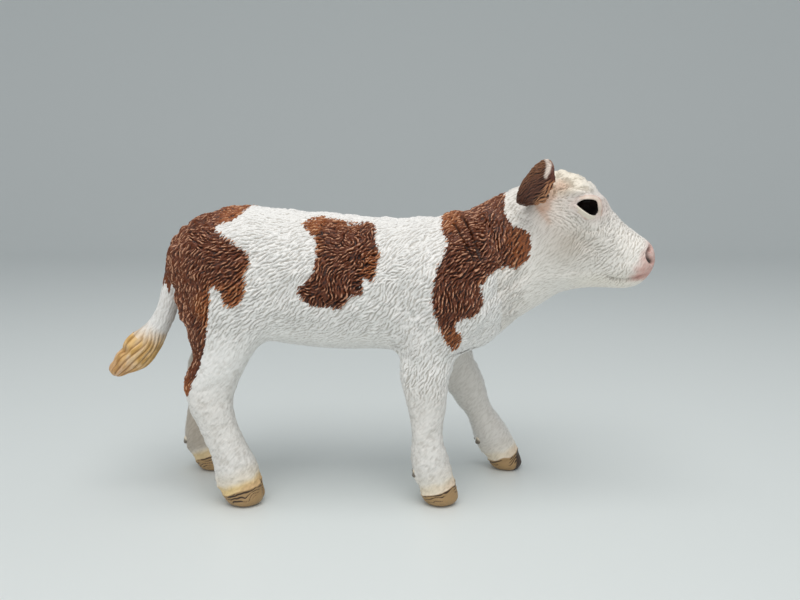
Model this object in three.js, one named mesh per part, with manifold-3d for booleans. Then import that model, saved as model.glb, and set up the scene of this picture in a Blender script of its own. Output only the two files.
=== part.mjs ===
// Standing calf figure, about one twentieth of life size, as a set of plug-together castings.
// Millimetres, +Z up, nose towards +X, soles on z = 0. The calf's own right side faces -Y.
import * as THREE from 'three';
import { triTable } from 'three/addons/objects/MarchingCubes.js';
import { mergeVertices } from 'three/addons/utils/BufferGeometryUtils.js';
import Module from 'manifold-3d';

const wasm = await Module();
wasm.setup();

// Trunk
const BODY_LENGTH = 46; // back of the rump to the front of the chest
const BODY_DEPTH = 18.4; // back to belly at mid-body
const BODY_WIDTH = 18.4; // across the barrel
const BELLY_HEIGHT = 19.9; // ground to the lowest point of the belly
const RUMP_X = -30.2; // back of the rump, measured from the middle of the whole figure

// Legs
const TRACK = 12.8; // between the middles of the left and right hooves
const HIP_SPREAD = 11.2; // between the middles of the left and right legs inside the body
const FORE_KNEE_DEPTH = 5.8;
const FORE_CANNON_DEPTH = 4.1;
const HOCK_DEPTH = 6.5;
const HIND_CANNON_DEPTH = 5.0;
const FETLOCK_DEPTH = 5.5;
const HOOF_LENGTH = 5.3;
const HOOF_WIDTH = 5.0;
const CLEFT_WIDTH = 0.7; // gap between the two toes, at the front of the sole
const CLEFT_HEIGHT = 2.2;
const DEWCLAW_RADIUS = 0.62;

// Head and neck
const HEAD_TURN = 12; // degrees, towards the calf's right
const HEAD_REACH = 30; // withers to nose
const NECK_WIDTH = 11.6;
const BROW_WIDTH = 9.6;
const BRIDGE_WIDTH = 6.4;
const MUZZLE_WIDTH = 7.4;
const EYE_RADIUS = 1.5;
const NOSTRIL_LENGTH = 1.7;
const NOSTRIL_DEPTH = 0.55;

// Ears and tail
const EAR_LENGTH = 8.4;
const EAR_WIDTH = 6.4;
const EAR_DEPTH = 3.3; // back of the ear to the rim of its cup
const EAR_WALL = 0.9; // thickness left round the cup of the ear
const TAIL_DROP = 16; // tail root to the tip of the tuft, measured upright
const TAIL_THICKNESS = 3.3;
const TUFT_THICKNESS = 4.2;

// Plugs
const SEAM = 0.3; // clearance on every joint face and round every plug
const NECK_PLUG_RADIUS = 3.2;
const NECK_PLUG_LENGTH = 6;
const LEG_PLUG_RADIUS = 1.5;
const LEG_PLUG_LENGTH = 5;
const TAIL_PLUG_RADIUS = 1.1;
const TAIL_PLUG_LENGTH = 3.2;
const EAR_PLUG_RADIUS = 0.8;
const EAR_PLUG_LENGTH = 1.8;
const PLUG_FLAT = 0.55; // distance from a plug's axis to its locating flat, as a share of its radius
const PLUG_ROOT = 0.6; // how far a plug starts inside its own casting, as a share of its radius

// Fillets between the forms
const FACE_FILLET = 1.5;
const LEG_FILLET = 2.5;
const BODY_FILLET = 4;

// Edge of the grid cubes that each casting is skinned with
const TRUNK_CELL = 1.9;
const HEAD_CELL = 1.3;
const LEG_CELL = 1.2;
const TAIL_CELL = 1.0;
const EAR_CELL = 0.8;
const ROOM = 3; // free space left round a form inside its grid

// Places on the trunk, as shares of its length and depth.
const along = share => RUMP_X + share * BODY_LENGTH;
const above = share => BELLY_HEIGHT + share * BODY_DEPTH;
const withers = new THREE.Vector2(along(0.8), above(1));
const croup = new THREE.Vector2(along(0), above(1));
const bodyHalf = BODY_WIDTH / 2;
const headUnit = HEAD_REACH / 30;
const tailUnit = TAIL_DROP / 16;

// A section is one cut across a form: the two ends of its long axis in the side view, its half
// thickness from side to side and the place of its middle left or right of the body's middle plane.
const section = (a, b, half, middle = 0) => ({
  a: new THREE.Vector3(a[0], 0, a[1]),
  b: new THREE.Vector3(b[0], 0, b[1]),
  side: new THREE.Vector3(half, middle, 0),
});

// Trunk sections, rump to chest: share of the length, height of back and belly, half width.
const trunkSections = [
  [0.085, 0.86, 0.42, 0.52],
  [0.15, 0.97, 0.22, 0.78],
  [0.24, 1.07, 0.12, 0.92],
  [0.38, 1.05, 0.04, 0.97],
  [0.53, 1.02, 0, 1],
  [0.66, 0.985, 0, 0.98],
  [0.78, 0.975, -0.02, 0.92],
  [0.88, 0.96, 0, 0.82],
  [0.94, 0.84, 0.08, 0.66],
].map(([x, back, belly, half]) => section(
  [along(x), above(back)], [along(x), above(belly)], half * bodyHalf));

// Neck and head sections: top line and throat line, measured from the withers in thirtieths of the
// head's reach, and the width.
const headSections = [
  [-3.0, -2.8, 1.5, -15.5, NECK_WIDTH * 1.0],
  [2.0, -0.9, 6.6, -17.6, NECK_WIDTH * 1.12],
  [7.2, 1.2, 10.4, -15.3, NECK_WIDTH * 1.02],
  [11.2, 3.4, 14.3, -12.8, NECK_WIDTH * 0.92],
  [14.6, 4.9, 17.4, -10.7, BROW_WIDTH * 1.0],
  [18.4, 6.1, 20.4, -9.9, BROW_WIDTH * 0.97],
  [22.0, 4.8, 22.4, -9.7, BROW_WIDTH * 0.95],
  [24.2, 1.4, 24.1, -9.7, BRIDGE_WIDTH * 1.15],
  [25.9, -0.7, 25.5, -9.7, BRIDGE_WIDTH],
  [27.6, -2.2, 27.1, -9.5, MUZZLE_WIDTH * 0.95],
  [29.2, -3.3, 28.4, -8.7, MUZZLE_WIDTH * 0.92],
].map(([x1, z1, x2, z2, width]) => section(
  [withers.x + x1 * headUnit, withers.y + z1 * headUnit],
  [withers.x + x2 * headUnit, withers.y + z2 * headUnit], width / 2));

// Tail sections: hind edge and front edge, measured from the top of the rump in sixteenths of the
// tail's drop, and the thickness.
const tailSections = [
  [0.7, -6.0, 3.9, -5.4, TAIL_THICKNESS],
  [0.1, -9.4, 3.1, -9.9, TAIL_THICKNESS],
  [-0.9, -12.7, 2.0, -13.4, TAIL_THICKNESS],
  [-2.4, -14.9, 0.7, -16.3, TAIL_THICKNESS],
  [-4.6, -16.4, -0.7, -18.9, TUFT_THICKNESS],
  [-6.4, -18.6, -2.7, -21.3, TUFT_THICKNESS],
  [-7.5, -20.9, -5.3, -22.1, TUFT_THICKNESS * 0.7],
].map(([x1, z1, x2, z2, width]) => section(
  [croup.x + x1 * tailUnit, croup.y + z1 * tailUnit],
  [croup.x + x2 * tailUnit, croup.y + z2 * tailUnit], width / 2));

// Leg joints from the body down: place along the trunk, height as a share of the belly's height.
const RIGHT_FORE = [[0.84, 1.35], [0.79, 1.0], [0.795, 0.73], [0.795, 0.5], [0.805, 0.28],
  [0.825, 0.15], [0.835, 0.06]];
const LEFT_FORE = [[0.84, 1.35], [0.855, 1.0], [0.93, 0.665], [0.97, 0.48], [1.015, 0.285],
  [1.05, 0.15], [1.07, 0.055]];
const RIGHT_HIND = [[0.21, 1.45], [0.203, 1.1], [0.17, 0.77], [0.187, 0.58], [0.215, 0.41],
  [0.24, 0.24], [0.258, 0.13], [0.265, 0.06]];
const LEFT_HIND = [[0.185, 1.4], [0.138, 1.08], [0.095, 0.74], [0.08, 0.6], [0.072, 0.45],
  [0.07, 0.27], [0.09, 0.14], [0.105, 0.055]];
// Depth front to back and width side to side at those joints.
const FORE_SIZES = [[8.6, 6.2], [6.9, 5.8], [FORE_KNEE_DEPTH, 5.0], [FORE_CANNON_DEPTH, 4.1],
  [FETLOCK_DEPTH * 0.97, 4.9], [HOOF_LENGTH * 0.93, HOOF_WIDTH * 0.92], [HOOF_LENGTH, HOOF_WIDTH]];
const HIND_SIZES = [[12.8, 7.4], [8.9, 6.8], [HOCK_DEPTH, 4.9], [HIND_CANNON_DEPTH * 1.05, 4.4],
  [HIND_CANNON_DEPTH, 4.2], [FETLOCK_DEPTH * 1.08, 5.0], [HOOF_LENGTH * 1.02, HOOF_WIDTH * 0.93],
  [HOOF_LENGTH * 1.05, HOOF_WIDTH * 1.04]];

// Sections square to the line through a leg's joints, ending below the ground so that the sole
// can be cut flat.
function legSections(joints, sizes, side) {
  const points = joints.map(([x, z]) => new THREE.Vector3(along(x), 0, z * BELLY_HEIGHT));
  const sole = points.at(-1).clone().setZ(-HOOF_LENGTH / 3);
  const line = [...points, sole];
  return line.map((point, i) => {
    const size = sizes[Math.min(i, sizes.length - 1)];
    const down = line[Math.min(i + 1, line.length - 1)].clone().sub(line[Math.max(i - 1, 0)]);
    const flat = i >= points.length - 1;
    const front = flat ? new THREE.Vector3(1, 0, 0)
      : new THREE.Vector3(-down.z, 0, down.x).normalize();
    const reach = front.multiplyScalar(size[0] / 2);
    const spread = THREE.MathUtils.lerp(HIP_SPREAD, TRACK, Math.min(i / 3, 1));
    return section([point.x - reach.x, point.z - reach.z], [point.x + reach.x, point.z + reach.z],
      size[1] / 2, side * spread / 2);
  });
}

// Signed distance, near enough, from a point given in an ellipsoid's own axes to its surface.
function ellipsoidDistance(x, y, z, rx, ry, rz) {
  const near = Math.hypot(x / rx, y / ry, z / rz);
  const slope = Math.hypot(x / (rx * rx), y / (ry * ry), z / (rz * rz));
  return slope > 1e-9 ? near * (near - 1) / slope : -Math.min(rx, ry, rz);
}

// Field of a form lofted through its sections, with elliptical cuts and rounded ends.
function loft(sections, endRadii, growth = 0, steps = 5) {
  const lines = ['a', 'b', 'side'].map(key =>
    new THREE.CatmullRomCurve3(sections.map(s => s[key]), false, 'centripetal'));
  const count = (sections.length - 1) * steps;
  const cuts = Array.from({ length: count + 1 }, (_, i) => {
    const [a, b, side] = lines.map(line => line.getPoint(i / count));
    const up = a.clone().sub(b);
    return {
      x: (a.x + b.x) / 2, y: side.y, z: (a.z + b.z) / 2,
      ux: up.x / up.length(), uz: up.z / up.length(),
      tall: up.length() / 2 + growth, wide: side.x + growth,
    };
  });
  // The normal of each cut points on along the form.
  const first = cuts[0], last = cuts.at(-1);
  const turn = Math.sign(first.uz * (last.x - first.x) - first.ux * (last.z - first.z)) || 1;
  const middle = cuts.length / 2;
  return (x, y, z) => {
    let nearest = Infinity;
    let before = null;
    for (const [i, cut] of cuts.entries()) {
      const end = endRadii[i < middle ? 0 : 1] + growth;
      const dx = x - cut.x, dz = z - cut.z;
      const ahead = turn * (dx * cut.uz - dz * cut.ux);
      const here = { cut, ahead, up: dx * cut.ux + dz * cut.uz };
      if (before) {
        const fall = before.ahead - ahead;
        const t = fall > 1e-9 ? THREE.MathUtils.clamp(before.ahead / fall, 0, 1) : 0.5;
        const mix = (p, q) => p + (q - p) * t;
        nearest = Math.min(nearest, ellipsoidDistance(
          mix(before.up, here.up), y - mix(before.cut.y, cut.y), mix(before.ahead, ahead),
          mix(before.cut.tall, cut.tall), mix(before.cut.wide, cut.wide), end));
      }
      before = here;
    }
    return nearest;
  };
}

// Field of an ellipsoid, its long axis leaning forward by an angle in the side view.
function muscle(centre, radii, lean = 0) {
  const c = Math.cos(lean), s = Math.sin(lean);
  return (x, y, z) => {
    const dx = x - centre[0], dz = z - centre[2];
    return ellipsoidDistance(dx * c - dz * s, y - centre[1], dx * s + dz * c, ...radii);
  };
}

// Fields joined with a fillet of about the given size.
function blend(fillet, ...fields) {
  return (x, y, z) => fields.reduce((sum, field) => {
    const d = field(x, y, z);
    const overlap = Math.max(fillet - Math.abs(sum - d), 0) / fillet;
    return Math.min(sum, d) - overlap * overlap * fillet / 4;
  }, 1e3);
}

// Corners of a grid cube, and for each axis the four cubes round a grid edge, counter-clockwise,
// with the number that the edge has in each of them.
const CORNERS = [
  [0, 0, 0], [1, 0, 0], [1, 1, 0], [0, 1, 0],
  [0, 0, 1], [1, 0, 1], [1, 1, 1], [0, 1, 1],
];
const EDGES = [
  [0, 1], [1, 2], [2, 3], [3, 0], [4, 5], [5, 6],
  [6, 7], [7, 4], [0, 4], [1, 5], [2, 6], [3, 7],
];
const AROUND = [
  { step: [1, 0, 0], cubes: [[0, -1, -1, 6], [0, 0, -1, 4], [0, 0, 0, 0], [0, -1, 0, 2]] },
  { step: [0, 1, 0], cubes: [[-1, 0, -1, 5], [-1, 0, 0, 1], [0, 0, 0, 3], [0, 0, -1, 7]] },
  { step: [0, 0, 1], cubes: [[-1, -1, 0, 10], [0, -1, 0, 11], [0, 0, 0, 8], [-1, 0, 0, 9]] },
];

// Groups of cut edges in a cube that belong to one sheet of the surface.
function sheets(code) {
  const groups = [];
  for (let i = code * 16; triTable[i] !== -1 && i < code * 16 + 15; i += 3) {
    const three = [triTable[i], triTable[i + 1], triTable[i + 2]];
    const met = groups.filter(group => three.some(edge => group.has(edge)));
    const joined = new Set([...met.flatMap(group => [...group]), ...three]);
    met.forEach(group => groups.splice(groups.indexOf(group), 1));
    groups.push(joined);
  }
  return groups;
}

// Moves a point onto the surface of a field, down its slope.
function settle(point, field, reach) {
  const start = point.clone();
  const e = reach * 0.02;
  for (let i = 0; i < 4; i++) {
    const { x, y, z } = point;
    const d = field(x, y, z);
    const slope = new THREE.Vector3(
      field(x + e, y, z) - field(x - e, y, z),
      field(x, y + e, z) - field(x, y - e, z),
      field(x, y, z + e) - field(x, y, z - e)).divideScalar(2 * e);
    if (slope.lengthSq() > 1e-6) point.addScaledVector(slope, -d / slope.lengthSq());
  }
  const move = point.clone().sub(start).clampLength(0, reach);
  return point.copy(start).add(move);
}

// Closed mesh of the zero surface of a field inside a box, one point to each sheet in each cube.
function skin(field, low, high, cell) {
  const count = low.map((v, i) => Math.ceil((high[i] - v) / cell) + 1);
  const at = (i, j, k) => (k * count[1] + j) * count[0] + i;
  const values = new Float64Array(count[0] * count[1] * count[2]);
  const place = (i, j, k) => [low[0] + i * cell, low[1] + j * cell, low[2] + k * cell];
  const rim = (i, j, k) => [i, j, k].some((v, axis) => v === 0 || v === count[axis] - 1);
  const each = (n, visit) => {
    for (let k = 0; k < n[2]; k++) {
      for (let j = 0; j < n[1]; j++) {
        for (let i = 0; i < n[0]; i++) {
          visit(i, j, k);
        }
      }
    }
  };
  each(count, (i, j, k) => {
    const d = field(...place(i, j, k));
    const outside = rim(i, j, k) ? Math.max(d, cell / 2) : d;
    values[at(i, j, k)] = Math.abs(outside) < cell * 0.01 ? cell * 0.01 : outside;
  });
  const points = [];
  const pointOf = new Int32Array(values.length * 12).fill(-1);
  each(count.map(n => n - 1), (i, j, k) => {
    const corner = CORNERS.map(([a, b, c]) => values[at(i + a, j + b, k + c)]);
    const code = corner.reduce((sum, v, n) => sum + (v < 0 ? 1 << n : 0), 0);
    for (const group of sheets(code)) {
      const mean = new THREE.Vector3();
      for (const edge of group) {
        const [p, q] = EDGES[edge];
        const t = corner[p] / (corner[p] - corner[q]);
        const from = new THREE.Vector3(...CORNERS[p]);
        mean.add(from.lerp(new THREE.Vector3(...CORNERS[q]), t));
        pointOf[at(i, j, k) * 12 + edge] = points.length;
      }
      mean.divideScalar(group.size).multiplyScalar(cell).add(new THREE.Vector3(...place(i, j, k)));
      const border = [i, j, k].some((v, axis) => v === 0 || v === count[axis] - 2);
      points.push(border ? mean : settle(mean, field, cell * 0.6));
    }
  });
  const faces = [];
  each(count.map(n => n - 1), (i, j, k) => {
    for (const { step, cubes } of AROUND) {
      const here = values[at(i, j, k)];
      const next = values[at(i + step[0], j + step[1], k + step[2])];
      if ((here < 0) === (next < 0)) continue;
      const ring = cubes.map(([a, b, c, edge]) => pointOf[at(i + a, j + b, k + c) * 12 + edge]);
      if (here >= 0) ring.reverse();
      const [a, b, c, d] = ring;
      const short = points[a].distanceTo(points[c]) < points[b].distanceTo(points[d]);
      faces.push(...(short ? [a, b, c, a, c, d] : [b, c, d, b, d, a]));
    }
  });
  const geometry = new THREE.BufferGeometry().setFromPoints(points);
  return geometry.setIndex(faces);
}

// Solid of a closed three.js geometry, for joining and cutting.
function solid(geometry) {
  const bare = geometry.clone();
  bare.deleteAttribute('normal');
  bare.deleteAttribute('uv');
  const merged = mergeVertices(bare, 1e-4);
  return new wasm.Manifold(new wasm.Mesh({
    numProp: 3,
    vertProperties: new Float32Array(merged.attributes.position.array),
    triVerts: new Uint32Array(merged.index.array),
  }));
}

// Matrix that carries +Z to a direction, keeps +Y level and moves the origin to a place.
function facing(place, direction) {
  const z = direction.clone().normalize();
  const y = new THREE.Vector3(0, 1, 0).projectOnPlane(z).normalize();
  const x = y.clone().cross(z);
  return new THREE.Matrix4().makeBasis(x, y, z).setPosition(place);
}

// Everything beyond the plane through a place, square to a direction.
const FAR = 200;
const beyond = (place, direction) =>
  solid(new THREE.BoxGeometry(FAR, FAR, FAR).translate(0, 0, FAR / 2)
    .applyMatrix4(facing(place, direction)));

// Round plug with one locating flat, from a place along a direction, sunk a little into its own
// casting. The socket is the same plug grown by the clearance.
function plug(place, direction, radius, length, growth = 0) {
  const r = radius + growth;
  const flat = Math.acos(Math.min((radius * PLUG_FLAT + growth) / r, 1));
  const outline = new THREE.Shape();
  outline.absarc(0, 0, r, flat, 2 * Math.PI - flat, false);
  outline.closePath();
  const root = radius * PLUG_ROOT;
  const body = new THREE.ExtrudeGeometry(outline,
    { depth: root + length + growth, bevelEnabled: false, curveSegments: 14 });
  return solid(body.translate(0, 0, -root).applyMatrix4(facing(place, direction)));
}

// A right and a left leg are the same sizes in different poses.
const legs = {
  leg_front_right: { sections: legSections(RIGHT_FORE, FORE_SIZES, -1), side: -1 },
  leg_front_left: { sections: legSections(LEFT_FORE, FORE_SIZES, 1), side: 1 },
  leg_rear_right: { sections: legSections(RIGHT_HIND, HIND_SIZES, -1), side: -1 },
  leg_rear_left: { sections: legSections(LEFT_HIND, HIND_SIZES, 1), side: 1 },
};

const bothSides = (centre, radii, lean) => [-1, 1].map(side =>
  muscle([centre[0], side * centre[1], centre[2]], radii, lean));
const shoulders = bothSides([along(0.85), bodyHalf * 0.56, above(0.42)],
  [BODY_LENGTH * 0.1, bodyHalf * 0.38, BODY_DEPTH * 0.413], 0.25);
const haunches = bothSides([along(0.205), bodyHalf * 0.5, above(0.5)],
  [BODY_LENGTH * 0.143, bodyHalf * 0.467, BODY_DEPTH * 0.467], -0.1);
const onHeadLine = (x, y, z) => [withers.x + x * headUnit, y, withers.y + z * headUnit];
const cheeks = bothSides(onHeadLine(18.4, BROW_WIDTH * 0.24, -4.6),
  [headUnit * 4.2, BROW_WIDTH * 0.27, headUnit * 4.6]);
const brows = bothSides(onHeadLine(20.6, BROW_WIDTH * 0.31, 2.7),
  [headUnit * 2.2, BROW_WIDTH * 0.177, headUnit * 1.3]);

const straightHead = blend(FACE_FILLET,
  loft(headSections, [headUnit * 5, headUnit * 1.3]), ...cheeks, ...brows);

// The neck bends sideways from its joint face on, and carries the head round by the full turn.
const neckFace = new THREE.Vector3(...onHeadLine(8.4, 0, -7.2));
const neckBend = [neckFace.x - headUnit, neckFace.x + headUnit * 7];
const neckPivot = new THREE.Vector3(neckFace.x + headUnit * 3, 0, 0);
const headTurn = new THREE.Matrix4().makeTranslation(neckPivot)
  .multiply(new THREE.Matrix4().makeRotationZ(-THREE.MathUtils.degToRad(HEAD_TURN)))
  .multiply(new THREE.Matrix4().makeTranslation(neckPivot.clone().negate()));
function headForm(x, y, z) {
  const angle = THREE.MathUtils.degToRad(HEAD_TURN) * THREE.MathUtils.smoothstep(x, ...neckBend);
  const c = Math.cos(angle), s = Math.sin(angle);
  const dx = x - neckPivot.x;
  return straightHead(neckPivot.x + dx * c - y * s, dx * s + y * c, z);
}
const trunkForm = blend(BODY_FILLET,
  loft(trunkSections, [BODY_LENGTH * 0.057, BODY_LENGTH * 0.07]), ...shoulders, ...haunches);
const limbForm = blend(LEG_FILLET, trunkForm,
  ...Object.values(legs).map(leg => loft(leg.sections, [FORE_CANNON_DEPTH, 1])));
const calfForm = blend(BODY_FILLET, limbForm, headForm);

// Joint faces: the neck is cut square to its own line and the legs level, just under the belly.
const up = new THREE.Vector3(0, 0, 1);
const down = new THREE.Vector3(0, 0, -1);
const forward = new THREE.Vector3(1, 0, 0);
const legFace = new THREE.Vector3(0, 0, BELLY_HEIGHT - SEAM);
const neckWay = new THREE.Vector3(0.983, 0, 0.185).normalize();
const tailFace = new THREE.Vector3(croup.x + tailUnit * 2.6, 0, croup.y - tailUnit * 6.6);
const beside = (place, way) => place.clone().addScaledVector(way, SEAM / 2);

// Where a leg's middle line meets the joint face.
function legSeat({ sections }) {
  const middle = sections.map(s => s.a.clone().lerp(s.b, 0.5).setY(s.side.y));
  const i = middle.findIndex(point => point.z < legFace.z);
  const [over, under] = [middle[i - 1], middle[i]];
  return over.clone().lerp(under, (over.z - legFace.z) / (over.z - under.z));
}

// Eyes, in round sockets under the brow.
const eyePlace = side => new THREE.Vector3(
  ...onHeadLine(20.8, side * (BROW_WIDTH / 2 - EYE_RADIUS * 0.62), 1.2)).applyMatrix4(headTurn);
const ball = (radius, stretch = [1, 1, 1]) =>
  new THREE.SphereGeometry(radius, 12, 8).scale(...stretch);
const ballAt = (place, radius, stretch) =>
  solid(ball(radius, stretch).translate(...place.toArray()));

// The right ear in its own axes, x from root to tip, z across the blade and +y out of the cup. It is
// half of a form that is round about the plane of the rim, hollowed from that plane.
// Share of the length, of the width above and below the middle, and of the depth.
const earSections = [
  [0, 0.2, -0.2, 0.45],
  [0.22, 0.36, -0.34, 0.8],
  [0.5, 0.5, -0.48, 1],
  [0.78, 0.38, -0.38, 0.75],
  [0.95, 0.14, -0.16, 0.3],
].map(([x, high, low, deep]) => section([x * EAR_LENGTH, high * EAR_WIDTH],
  [x * EAR_LENGTH, low * EAR_WIDTH], deep * EAR_DEPTH));
const earWay = new THREE.Vector3(0.147, -0.94, 0.307).normalize();
const earUp = new THREE.Vector3(0.21, 0, 0.978).projectOnPlane(earWay).normalize();
const earRoot = new THREE.Vector3(...onHeadLine(15.6, -BROW_WIDTH * 0.42, 3));
const earAxes = new THREE.Matrix4()
  .makeBasis(earWay, earUp.clone().cross(earWay), earUp).setPosition(earRoot);

function earBlade(side, growth, cupped) {
  const form = skin(loft(earSections, [0.5, 0.5], growth),
    [-1.5, -EAR_DEPTH - 1.2, -EAR_WIDTH * 0.65],
    [EAR_LENGTH + 1.5, EAR_DEPTH + 1.2, EAR_WIDTH * 0.7], EAR_CELL);
  const front = new THREE.BoxGeometry(FAR, FAR, FAR).translate(0, FAR / 2 + growth, 0);
  let blade = solid(form).subtract(solid(front));
  if (cupped) {
    const cup = ball(1, [EAR_LENGTH * 0.37, EAR_DEPTH - EAR_WALL, EAR_WIDTH / 2 - EAR_WALL]);
    blade = blade.subtract(solid(cup.translate(EAR_LENGTH * 0.54, 0, 0)));
  }
  const right = blade.transform(earAxes.elements);
  return (side < 0 ? right : right.mirror([0, 1, 0])).transform(headTurn.elements);
}

// Castings, each cut from the calf's form at its joint faces.
const tailSkin = growth => skin(loft(tailSections, [0.8, 0.6], growth),
  [croup.x - 9, -TUFT_THICKNESS, croup.y - 24], [croup.x + 6, TUFT_THICKNESS, croup.y - 3],
  TAIL_CELL);
const tailPlug = growth => plug(tailFace, forward, TAIL_PLUG_RADIUS, TAIL_PLUG_LENGTH, growth);
const neckPlug = growth => plug(neckFace, neckWay.clone().negate(), NECK_PLUG_RADIUS,
  NECK_PLUG_LENGTH, growth);
const legPlug = (leg, growth) => plug(legSeat(leg), up, LEG_PLUG_RADIUS, LEG_PLUG_LENGTH, growth);
const earPlace = side => earRoot.clone().multiply(new THREE.Vector3(1, -side, 1))
  .applyMatrix4(headTurn);
const earInward = side => earWay.clone().multiply(new THREE.Vector3(-1, side, -1))
  .transformDirection(headTurn);
const earPlug = (side, growth) => plug(earPlace(side), earInward(side), EAR_PLUG_RADIUS,
  EAR_PLUG_LENGTH, growth);

function torsoCasting() {
  let torso = solid(skin(calfForm, [RUMP_X - ROOM, -bodyHalf - ROOM, BELLY_HEIGHT - ROOM],
    [neckFace.x + ROOM, bodyHalf + ROOM, above(1.4)], TRUNK_CELL));
  torso = torso.subtract(beyond(beside(neckFace, neckWay.clone().negate()), neckWay));
  torso = torso.subtract(beyond(beside(legFace, up), down));
  torso = torso.subtract(neckPlug(SEAM));
  for (const leg of Object.values(legs)) torso = torso.subtract(legPlug(leg, SEAM));
  torso = torso.subtract(solid(tailSkin(SEAM)));
  return torso.subtract(tailPlug(SEAM));
}

function headCasting() {
  let head = solid(skin(calfForm, [neckFace.x - ROOM, -bodyHalf, BELLY_HEIGHT],
    [withers.x + HEAD_REACH + ROOM, bodyHalf, above(1.45)], HEAD_CELL));
  head = head.subtract(beyond(beside(neckFace, neckWay), neckWay.clone().negate()));
  head = head.add(neckPlug(0));
  for (const side of [-1, 1]) {
    head = head.subtract(earBlade(side, SEAM, false));
    head = head.subtract(earPlug(side, SEAM));
    head = head.subtract(ballAt(eyePlace(side), EYE_RADIUS + SEAM));
    const nostril = new THREE.Vector3(...onHeadLine(29.2, side * MUZZLE_WIDTH * 0.36, -5.3))
      .applyMatrix4(headTurn);
    head = head.subtract(ballAt(nostril, NOSTRIL_DEPTH,
      [1, 1.3, NOSTRIL_LENGTH / 2 / NOSTRIL_DEPTH]));
  }
  return head;
}

function legCasting(leg) {
  const { sections, side } = leg;
  const edges = sections.flatMap(s => [s.a, s.b]).filter(point => point.z < legFace.z + ROOM);
  const xs = edges.map(point => point.x);
  const ys = [side * SEAM, side * (TRACK / 2 + HOOF_WIDTH)];
  let casting = solid(skin(limbForm, [Math.min(...xs) - ROOM, Math.min(...ys), -ROOM],
    [Math.max(...xs) + ROOM, Math.max(...ys), legFace.z + ROOM], LEG_CELL));
  const hoof = sections.at(-2);
  for (const across of [-1, 1]) {
    const [fetlock, pastern] = sections.slice(-4, -2);
    const place = fetlock.a.clone().lerp(pastern.a, 0.45);
    place.x += DEWCLAW_RADIUS * 0.35;
    place.y = fetlock.side.y + across * fetlock.side.x * 0.42;
    casting = casting.add(ballAt(place, DEWCLAW_RADIUS, [1, 0.9, 1.3]));
  }
  casting = casting.subtract(beyond(new THREE.Vector3(), down));
  casting = casting.subtract(beyond(beside(legFace, down), up));
  casting = casting.add(legPlug(leg, 0));
  const cleft = new THREE.Shape();
  cleft.moveTo(-CLEFT_WIDTH / 2, -1);
  cleft.lineTo(CLEFT_WIDTH / 2, -1);
  cleft.lineTo(0, CLEFT_HEIGHT);
  const wedge = new THREE.ExtrudeGeometry(cleft, { depth: HOOF_LENGTH, bevelEnabled: false })
    .rotateX(Math.PI / 2).rotateZ(Math.PI / 2)
    .translate((hoof.a.x + hoof.b.x) / 2, hoof.side.y, 0);
  return casting.subtract(solid(wedge));
}

// Finishes, from the photographed figure.
const finish = (color, roughness) =>
  new THREE.MeshStandardMaterial({ color, roughness, metalness: 0 });
const whiteCoat = finish(0xe6e2dc, 0.55);
const legCoat = finish(0xe4dccb, 0.55);
const brownCoat = finish(0x5f3a2e, 0.5);
const tailCoat = finish(0xdcc38c, 0.5);
const eyeBlack = finish(0x0b0908, 0.08);

// A casting as a mesh whose own origin is its joint.
function mesh(name, casting, origin, material) {
  const { vertProperties, triVerts } = casting.getMesh();
  const geometry = new THREE.BufferGeometry();
  geometry.setAttribute('position', new THREE.BufferAttribute(vertProperties, 3));
  geometry.setIndex(new THREE.BufferAttribute(triVerts, 1));
  geometry.translate(...origin.clone().negate().toArray());
  geometry.computeVertexNormals();
  const part = new THREE.Mesh(geometry, material);
  part.name = name;
  part.position.copy(origin);
  return part;
}

const calf = new THREE.Group();
const head = new THREE.Group();
calf.name = 'calf_figure';
head.name = 'head_assembly';
head.position.copy(neckFace);
calf.add(mesh('torso', torsoCasting(), new THREE.Vector3(), whiteCoat));
calf.add(mesh('tail', solid(tailSkin(0)).add(tailPlug(0)), tailFace, tailCoat));
for (const [name, leg] of Object.entries(legs)) {
  calf.add(mesh(name, legCasting(leg), legSeat(leg), legCoat));
}
const onHead = part => {
  part.position.sub(neckFace);
  head.add(part);
};
onHead(mesh('head', headCasting(), neckFace, whiteCoat));
for (const [name, side] of [['right', -1], ['left', 1]]) {
  const ear = earBlade(side, 0, true).add(earPlug(side, 0));
  onHead(mesh(`ear_${name}`, ear, earPlace(side), brownCoat));
  const eye = new THREE.Mesh(ball(EYE_RADIUS), eyeBlack);
  eye.name = `eye_${name}`;
  eye.position.copy(eyePlace(side));
  onHead(eye);
}
calf.add(head);

// The figure's origin is on the ground, in the middle of the box that holds it.
const box = new THREE.Box3().setFromObject(calf);
const middle = box.getCenter(new THREE.Vector3());
calf.position.set(-middle.x, -middle.y, 0);

export default calf;
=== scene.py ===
# A walking calf figure in cast vinyl: sculpted coat, painted patches, glossy eyes, horn hooves.
# Shapes are worked out in millimetres and written to the meshes in metres.
import itertools
import math

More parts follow.
